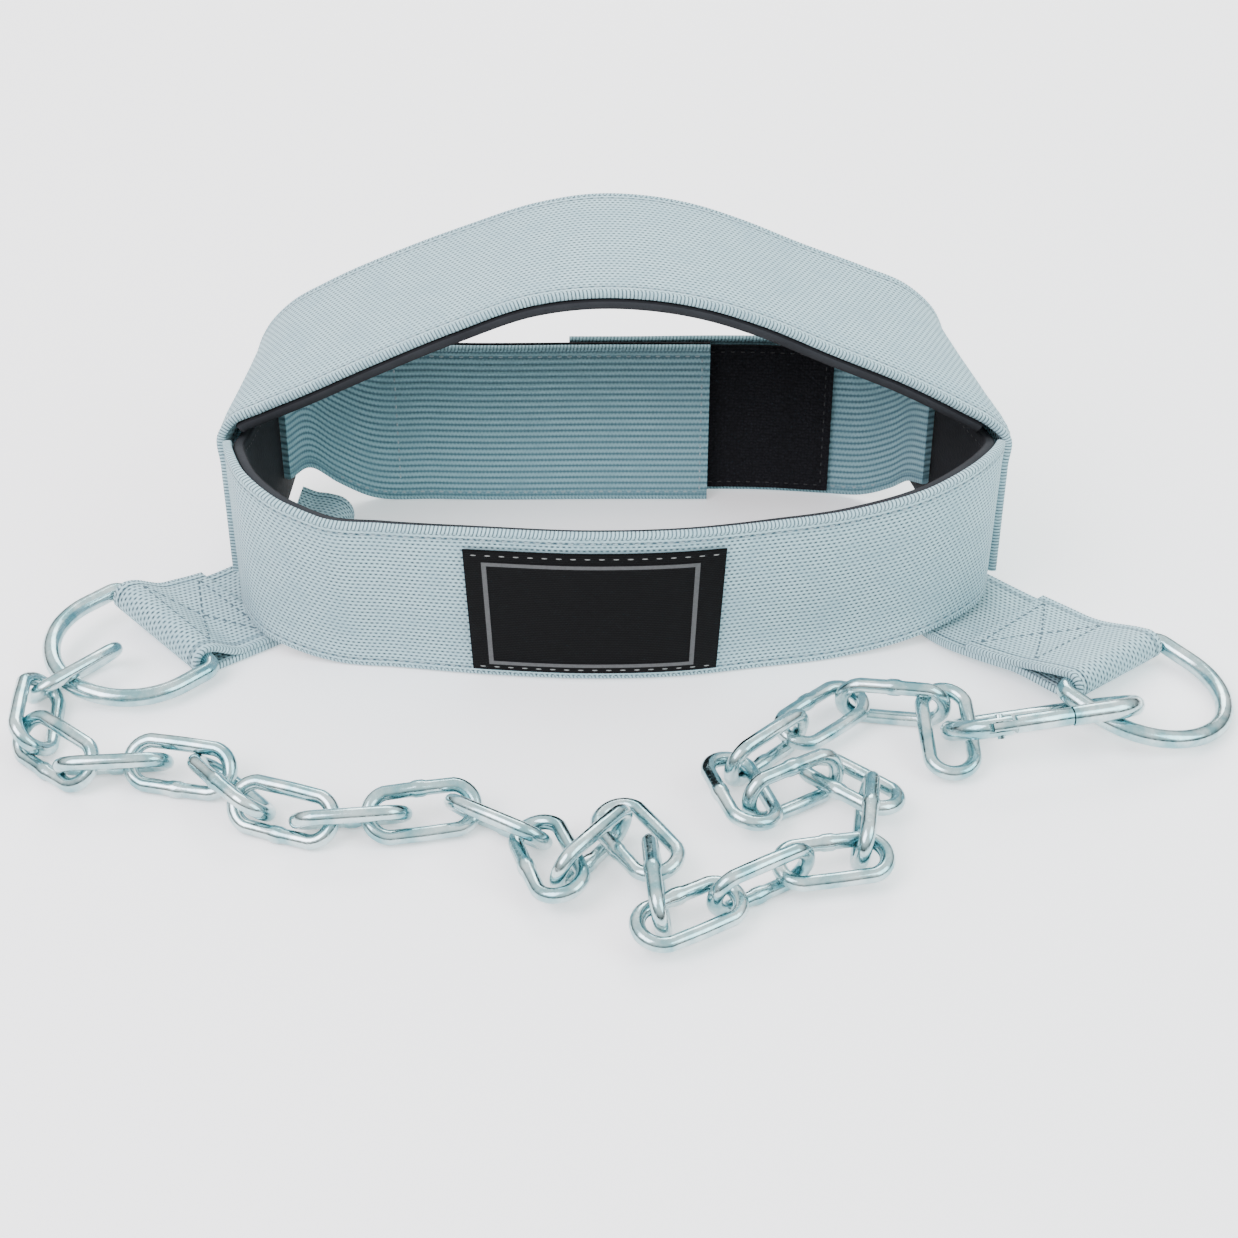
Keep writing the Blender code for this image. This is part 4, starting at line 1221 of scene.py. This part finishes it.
@dataclass
class BackStrap:
    """The back strap: two webbing halves joined by hook and loop."""

    plan: Plan
    stuff: Wardrobe
    steps: int = 90
    columns: int = 7
    wall_columns: int = 11
    pile_steps: int = 60
    pile_columns: int = 5
    backing: float = 1.2
    patch_height: float = 55.0
    patch_thickness: float = 1.2
    patch_start: float = 0.03
    patch_end: float = 0.655
    backing_from: float = 0.30
    seam_inset: float = 3.4
    hem: float = 2.6
    hidden_end: float = 24.0
    cross_seam: float = 46.0
    cross_span: tuple[float, float] = (8.0, 52.0)
    patch_rim: float = 2.4
    patch_clear: float = 4.0

    def build(self) -> None:
        """Build and dress both halves, the loop backing, the hook patch and the seams."""
        plan = self.plan
        left = self.half(Side.LEFT, plan.BACK_LEFT)
        right = self.half(Side.RIGHT, plan.BACK_RIGHT)
        loop = plan.placed(plan.strap_grid(plan.BACK_LEFT, self.pile_steps, self.pile_columns,
                                           self.backing_from))
        behind = -(plan.webbing + plan.layer_gap)
        self.pile("loop_pile", "loop_backing", Side.LEFT, loop, Wall(self.backing, offset=behind))
        rim = (1.0 - self.patch_height / plan.strap_height) / 2
        patch = plan.placed(plan.strap_grid(plan.BACK_RIGHT, self.pile_steps, self.pile_columns,
                                            self.patch_start, self.patch_end, rim, 1.0 - rim))
        front = plan.layer_gap + self.patch_thickness
        self.pile("hook_pile", "hook_patch", Side.RIGHT, patch,
                  Wall(self.patch_thickness, offset=front))
        self.sew(left, right, patch, front)

    def half(self, side: Side, table: tuple) -> Surface:
        """Build one half's webbing and return its surface."""
        plan, word = self.plan, side.word
        surface = plan.placed(plan.strap_grid(table, self.steps, self.columns))
        webbing = Layer(self.stuff.ribbed, Slot.WEBBING, f"back_strap_{word}", "stretched")
        webbing.lay(f"back_webbing_{word}", surface,
                    Wall(plan.webbing, bead=plan.selvedge_bead, columns=self.wall_columns))
        return surface

    def pile(self, name: str, node: str, side: Side, surface: Surface, wall: Wall) -> None:
        """Build a hook or loop tape on one half."""
        tape = Layer(self.stuff.pile, Slot.FASTENER, node,
                     rests_on=(f"back_webbing_{side.word}",))
        tape.lay(name, surface, wall)

    def sew(self, left: Surface, right: Surface, patch: Surface, front: float) -> None:
        """Sew the halves: long rows near both edges, the end hem and the cross seams."""
        inset, start, end = self.seam_inset, self.hidden_end, left.length - self.hem
        low, high = self.cross_span
        rows = [[(start, inset), (end, inset)], [(start, -inset), (end, -inset)],
                [(end, inset), (end, left.widths[-1] - inset)],
                [(self.cross_seam, low), (self.cross_seam, high)]]
        seams = Stitching().sew("back_seams_left", left, rows, 0.0)
        hand_over(seams, self.stuff.thread)
        start, end = patch.length + self.patch_clear, right.length - self.hidden_end
        rows = [[(start, inset), (end, inset)], [(start, -inset), (end, -inset)]]
        seams = Stitching().sew("back_seams_right", right, rows, 0.0)
        hand_over(seams, self.stuff.thread)
        near, far = self.patch_rim, patch.length - self.patch_rim
        top = patch.widths[0] - self.patch_rim
        rows = [[(near, near), (far, near)], [(near, top), (far, top)],
                [(near, near), (near, top)], [(far, near), (far, top)]]
        seams = Stitching(thread=0.6).sew("hook_patch_seams", patch, rows, front)
        hand_over(seams, self.stuff.black_thread)


@dataclass
class RingTab:
    """A webbing tab folded round a D-ring's bar, and the ring itself."""

    plan: Plan
    stuff: Wardrobe
    side: Side
    inner_width: float = 44.0
    corner: float = 0.6
    wire: float = 5.5
    steps: int = 170
    columns: int = 7
    box_near: float = 3.0
    box_far: float = 24.0
    box_inset: float = 4.0
    seam_lift: float = 0.001
    corner_steps: int = 6
    bow_steps: int = 48

    def build(self) -> None:
        """Build and dress the tab, its seams and the ring."""
        plan, word = self.plan, self.side.word
        half = plan.tab_webbing / 2
        tab = plan.placed(plan.tab_grid(self.side, self.columns, self.steps))
        webbing = Layer(self.stuff.webbing, Slot.WEBBING, f"tab_{word}", "folded")
        webbing.lay(f"{word}_tab_webbing", tab,
                    Wall(plan.tab_webbing, bead=plan.selvedge_bead, offset=half))
        self.sew(tab, half)
        self.ring()

    def sew(self, tab: Surface, half: float) -> None:
        """Sew the tab: a boxed cross on the return."""
        near, far = tab.length - self.box_near, tab.length - self.box_far
        low, high = self.box_inset, tab.width - self.box_inset
        rows = [[(near, low), (near, high)], [(far, low), (far, high)],
                [(near, low), (far, high)], [(near, high), (far, low)]]
        stitching = Stitching(pitch=3.0, sink=0.02)
        seams = stitching.sew(f"{self.side.word}_tab_box_seams", tab, rows,
                              -half - self.seam_lift)
        hand_over(seams, self.stuff.slate_thread)

    def ring(self) -> None:
        """Build the D-ring: a straight bar, two short legs and a round bow."""
        plan, word = self.plan, self.side.word
        middle, bar, reach, _ = plan.ring_frame(self.side)
        half = (self.inner_width + self.wire) / 2
        corner = self.wire * self.corner
        leg = plan.RINGS[self.side][-1]
        outline = []
        for sign, turns in ((-1.0, (180.0, 270.0)), (1.0, (270.0, 360.0))):
            for angle in np.linspace(*turns, self.corner_steps):
                bend = heading(angle)
                outline.append((sign * (half - corner) + bend[0] * corner,
                                corner * (1 + bend[1])))
        for angle in np.linspace(0.0, 180.0, self.bow_steps):
            bend = heading(angle)
            outline.append((half * bend[0], leg + half * bend[1]))
        points = [middle + plan.shift + bar * a + reach * b for a, b in outline]
        thing = bent_wire(f"{word}_ring", points, self.wire, closed=True)
        hand_over(thing, self.stuff.zinc, (f"d_ring_{word}",))


def bent_wire(name: str, points: list[np.ndarray], diameter: float,
              closed: bool) -> bpy.types.Object:
    """Bend a round wire along points, as a curve turned into a mesh.

    Args:
        name: the piece's name.
        points: the middle line in millimetres.
        diameter: the wire's thickness.
        closed: whether it joins on itself.

    Returns:
        The new mesh object.
    """
    curve = bpy.data.curves.new(name, "CURVE")
    curve.dimensions = "3D"
    curve.bevel_depth = diameter / 2 * MM
    curve.bevel_resolution = 5
    curve.use_fill_caps = True
    spline = curve.splines.new("POLY")
    spline.points.add(len(points) - 1)
    for knot, point in zip(spline.points, points):
        knot.co = (*(np.asarray(point) * MM), 1.0)
    spline.use_cyclic_u = closed
    thing = bpy.data.objects.new(name, curve)
    bpy.context.scene.collection.objects.link(thing)
    only(thing)
    bpy.ops.object.convert(target="MESH")
    thing = bpy.context.object
    fix_normals(thing)
    return thing


@dataclass
class Chain:
    """The welded chain: one link modelled once and copied to each CAD link."""

    stuff: Wardrobe
    length: float = 34.5
    width: float = 17.5
    wire: float = 4.4
    weld_half: float = 1.1
    weld_taper: float = 2.3
    weld_swell: float = 1.16
    near: float = 0.1

    def link(self) -> bpy.types.Object:
        """Model one link flat at the origin: a torus pulled into an oval, with its weld."""
        bpy.ops.object.select_all(action="DESELECT")
        reach, pull = (self.width - self.wire) / 2, (self.length - self.width) / 2
        bpy.ops.mesh.primitive_torus_add(major_radius=reach * MM, minor_radius=self.wire / 2 * MM,
                                         major_segments=32, minor_segments=14)
        thing = bpy.context.object
        bpy.ops.object.mode_set(mode="EDIT")
        for sign in (-1.0, 1.0):
            self.pick(thing, lambda co: co.x * sign > 1e-6)
            bpy.ops.transform.translate(value=(sign * pull * MM, 0.0, 0.0))
        for place in (-self.weld_taper, -self.weld_half, self.weld_half, self.weld_taper):
            bpy.ops.mesh.select_all(action="SELECT")
            bpy.ops.mesh.bisect(plane_co=(place * MM, 0.0, 0.0), plane_no=(1.0, 0.0, 0.0))
        self.pick(thing, lambda co: co.y > 0 and abs(co.x) < (self.weld_half + self.near) * MM)
        bpy.ops.transform.resize(value=(1.0, self.weld_swell, self.weld_swell),
                                 center_override=(0.0, reach * MM, 0.0))
        bpy.ops.object.mode_set(mode="OBJECT")
        return thing

    @staticmethod
    def pick(thing: bpy.types.Object, wanted: Callable[[Vector], bool]) -> None:
        """Select the vertices that a test on their place accepts."""
        bpy.ops.mesh.select_mode(type="VERT")
        bpy.ops.mesh.select_all(action="DESELECT")
        bpy.ops.object.mode_set(mode="OBJECT")
        for vertex in thing.data.vertices:
            vertex.select = wanted(vertex.co)
        bpy.ops.object.mode_set(mode="EDIT")

    @staticmethod
    def stance(node: bpy.types.Object) -> Matrix:
        """Return where a CAD link lies: its middle, and its long, wide and thin axes."""
        places = np.unique(np.round([vertex.co for vertex in node.data.vertices], 6), axis=0)
        middle = places.mean(axis=0)
        axes = np.linalg.svd(places - middle, full_matrices=False)[2]
        axes[2] = np.cross(axes[0], axes[1])
        turn = Matrix(axes.tolist()).transposed().to_4x4()
        return Matrix.Translation(Vector(middle)) @ turn

    def build(self, nodes: dict[str, bpy.types.Object]) -> None:
        """Copy the link to every CAD link, each copy with its own mesh."""
        pattern = self.link()
        for name in sorted(key for key in nodes if key.startswith("chain_link_")):
            data = pattern.data.copy()
            data.transform(self.stance(nodes[name]))
            thing = bpy.data.objects.new("welded_" + name.replace("chain_", ""), data)
            bpy.context.scene.collection.objects.link(thing)
            hand_over(thing, self.stuff.zinc, (name,), smooth=60.0)
        bpy.data.objects.remove(pattern, do_unlink=True)


@dataclass
class SnapHook:
    """The snap hook: an oval of wire open on one side, and the sprung gate across it."""

    stuff: Wardrobe
    length: float = 62.0
    width: float = 27.0
    wire: float = 6.0
    gate_wire: float = 5.4
    tongue: float = 2.4
    rivet: float = 2.2
    fit_gap: float = 0.35
    rivet_place: float = -0.275
    nose_place: float = 0.14
    cheek_reach: float = 3.2
    shoulder_reach: float = 4.8
    slot_depth: float = 7.2
    nose_lap: float = 3.6
    inward: float = 4.0
    clear: float = 10.0
    bend_steps: int = 33

    def place(self, frame: dict) -> Matrix:
        """Return the hook's own frame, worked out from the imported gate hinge."""
        joint = frame["joints"][0]
        hinge = unit(np.array(joint["axis"], dtype=float))
        along = unit(np.cross(hinge, UP))
        across = np.cross(hinge, along)
        radius = (self.width - self.wire) / 2
        middle = (np.array(joint["pos_m"], dtype=float) / MM
                  - along * self.rivet_place * self.length + across * radius)
        turn = Matrix(np.stack((along, across, hinge), axis=1).tolist()).to_4x4()
        return Matrix.Translation(Vector(middle * MM)) @ turn

    def build(self, frame: dict) -> None:
        """Build the hook's body and its gate, flat at the origin, and set them in place."""
        radius = (self.width - self.wire) / 2
        straight = (self.length - self.width) / 2
        rivet, nose = self.rivet_place * self.length, self.nose_place * self.length
        outline = [(rivet + self.cheek_reach, -radius, 0.0), (rivet, -radius, 0.0)]
        for side, begin in ((-1.0, 270.0), (1.0, 90.0)):
            for angle in np.linspace(begin, begin - 180.0, self.bend_steps):
                bend = heading(angle)
                outline.append((side * straight + radius * bend[0], radius * bend[1], 0.0))
        outline.append((nose - self.nose_lap, -radius, 0.0))
        body = bent_wire("hook_body", outline, self.wire, closed=False)
        slot, far = self.tongue / 2 + self.fit_gap, self.clear
        self.cut(body, (rivet + self.cheek_reach - self.slot_depth, -radius - far, -slot),
                 (rivet + far, -radius + self.inward, slot))
        self.pin(body, (rivet, -radius), self.rivet + 2 * self.fit_gap, 2 * far, "DIFFERENCE")
        self.cut(body, (nose - self.nose_lap - far, -radius - self.fit_gap / 2, -far),
                 (nose + self.fit_gap, -radius + self.inward, far))
        bar = [(rivet - self.slot_depth + self.cheek_reach + 4 * self.fit_gap, -radius, 0.0),
               (nose, -radius, 0.0)]
        gate = bent_wire("hook_gate", bar, self.gate_wire, closed=False)
        shoulder = rivet + self.shoulder_reach
        for low, high in ((self.tongue / 2, far), (-far, -self.tongue / 2)):
            self.cut(gate, (rivet - far, -radius - far, low), (shoulder, -radius + far, high))
        self.cut(gate, (nose - self.nose_lap - self.fit_gap, -radius - far, -far),
                 (nose + far, -radius + self.fit_gap / 2, far))
        self.pin(gate, (rivet, -radius), self.rivet, self.wire + self.rivet / 2, "UNION")
        where = self.place(frame)
        for thing, node, part in ((body, "snap_hook", Body.HARNESS),
                                  (gate, "snap_hook_gate", Body.GATE)):
            self.soften(thing)
            thing.data.transform(where)
            hand_over(thing, self.stuff.zinc, (node,), part, smooth=35.0)

    def cut(self, thing: bpy.types.Object, low: tuple, high: tuple) -> None:
        """Cut a box between two corners out of a piece."""
        bpy.ops.object.select_all(action="DESELECT")
        bpy.ops.mesh.primitive_cube_add(size=1.0)
        tool = bpy.context.object
        tool.scale = (np.array(high) - np.array(low)) * MM
        tool.location = (np.array(high) + np.array(low)) / 2 * MM
        self.join(thing, tool, "DIFFERENCE")

    def pin(self, thing: bpy.types.Object, place: tuple, diameter: float, length: float,
            operation: str) -> None:
        """Drill a hole along the hinge, or add a pin there."""
        bpy.ops.object.select_all(action="DESELECT")
        bpy.ops.mesh.primitive_cylinder_add(vertices=24, radius=diameter / 2 * MM,
                                            depth=length * MM,
                                            location=(place[0] * MM, place[1] * MM, 0.0))
        self.join(thing, bpy.context.object, operation)

    @staticmethod
    def join(thing: bpy.types.Object, tool: bpy.types.Object, operation: str) -> None:
        """Apply a boolean with a tool, then remove the tool."""
        modifier = thing.modifiers.new("joint", "BOOLEAN")
        modifier.operation, modifier.solver, modifier.object = operation, "EXACT", tool
        only(thing)
        bpy.ops.object.modifier_apply(modifier=modifier.name)
        bpy.data.objects.remove(tool, do_unlink=True)

    @staticmethod
    def soften(thing: bpy.types.Object) -> None:
        """Break the sharp edges that the cuts leave."""
        modifier = thing.modifiers.new("broken_edges", "BEVEL")
        modifier.width, modifier.segments = 0.22 * MM, 2
        modifier.limit_method, modifier.angle_limit = "ANGLE", math.radians(50.0)
        only(thing)
        bpy.ops.object.modifier_apply(modifier=modifier.name)


@dataclass
class Studio:
    """A white table, soft light and a camera at the photograph's angle."""

    target: tuple[float, float, float] = (-1.76, 38.95, 0.34)
    elevation: float = 35.0
    distance: float = 720.0
    lens: float = 65.95
    table_half: float = 3.0
    table_glow: float = 0.5
    sensor: float = 36.0
    near_clip: float = 0.01

    def build(self) -> None:
        """Build the table, the lights, the world and the camera."""
        self.table()
        self.lights()
        self.world()
        self.camera()

    def table(self) -> None:
        """Build the table top."""
        bpy.ops.object.select_all(action="DESELECT")
        bpy.ops.mesh.primitive_plane_add(size=2 * self.table_half)
        floor = bpy.context.object
        floor.name = "table_top"
        material, _, shader = new_material("white_table")
        shader.inputs["Base Color"].default_value = linear("#FBFBFB")
        shader.inputs["Emission Color"].default_value = linear("#FFFFFF")
        shader.inputs["Emission Strength"].default_value = self.table_glow
        shader.inputs["Roughness"].default_value = 0.9
        shader.inputs["Specular IOR Level"].default_value = 0.1
        floor.data.materials.append(material)

    def lights(self) -> None:
        """Hang a large soft key on the left, a fill on the right and a strip behind."""
        # place in metres, size in metres, power in watts, colour
        rows = (
            ("key", (-0.9, -0.7, 1.3), 1.1, 31.0, "#FFF2FF"),
            ("fill", (1.1, -0.5, 0.9), 0.9, 13.0, "#D2F8FF"),
            ("strip", (0.1, 1.2, 0.9), 0.8, 14.0, "#FFFFFF"),
        )
        for name, place, size, power, colour in rows:
            bpy.ops.object.light_add(type="AREA", location=place)
            lamp = bpy.context.object
            lamp.name = name + "_light"
            lamp.data.size, lamp.data.energy = size, power
            lamp.data.color = linear(colour)[:3]
            lamp.rotation_euler = (Vector(place) * -1).to_track_quat("-Z", "Y").to_euler()

    def world(self) -> None:
        """Surround the scene with white that darkens towards the horizon, for the metal."""
        world = bpy.data.worlds.new("studio_room")
        bpy.context.scene.world = world
        world.use_nodes = True
        tree = world.node_tree
        way = add_node(tree, "TexCoord").outputs["Generated"]
        height = add_node(tree, "SeparateXYZ", {0: way}).outputs["Z"]
        shade = add_node(tree, "MapRange", {0: height, 1: 0.08, 2: 0.6, 3: 0.05, 4: 1.85})
        tree.links.new(shade.outputs[0], tree.nodes["Background"].inputs["Strength"])
        tree.nodes["Background"].inputs["Color"].default_value = linear("#FFFFFF")

    def camera(self) -> None:
        """Set the camera at the photograph's elevation."""
        rise = math.radians(self.elevation)
        back = Vector((0.0, -math.cos(rise), math.sin(rise)))
        bpy.ops.object.camera_add(location=(Vector(self.target) + back * self.distance) * MM)
        camera = bpy.context.object
        camera.rotation_euler = (-back).to_track_quat("-Z", "Y").to_euler()
        camera.data.lens, camera.data.sensor_width = self.lens, self.sensor
        camera.data.clip_start = self.near_clip
        bpy.context.scene.camera = camera


def main() -> None:
    """Dress the frame piece by piece."""
    logging.basicConfig(level=logging.INFO, format="%(name)s: %(message)s")
    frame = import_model()
    plan = Plan()
    stuff = Wardrobe.open()
    ForeheadBand(plan, stuff).build()
    CrownBand(plan, stuff).build()
    BackStrap(plan, stuff).build()
    for side in Side:
        RingTab(plan, stuff, side).build()
    Chain(stuff).build(frame["nodes"])
    SnapHook(stuff).build(frame)
    Studio().build()


if __name__ == "__main__":
    main()
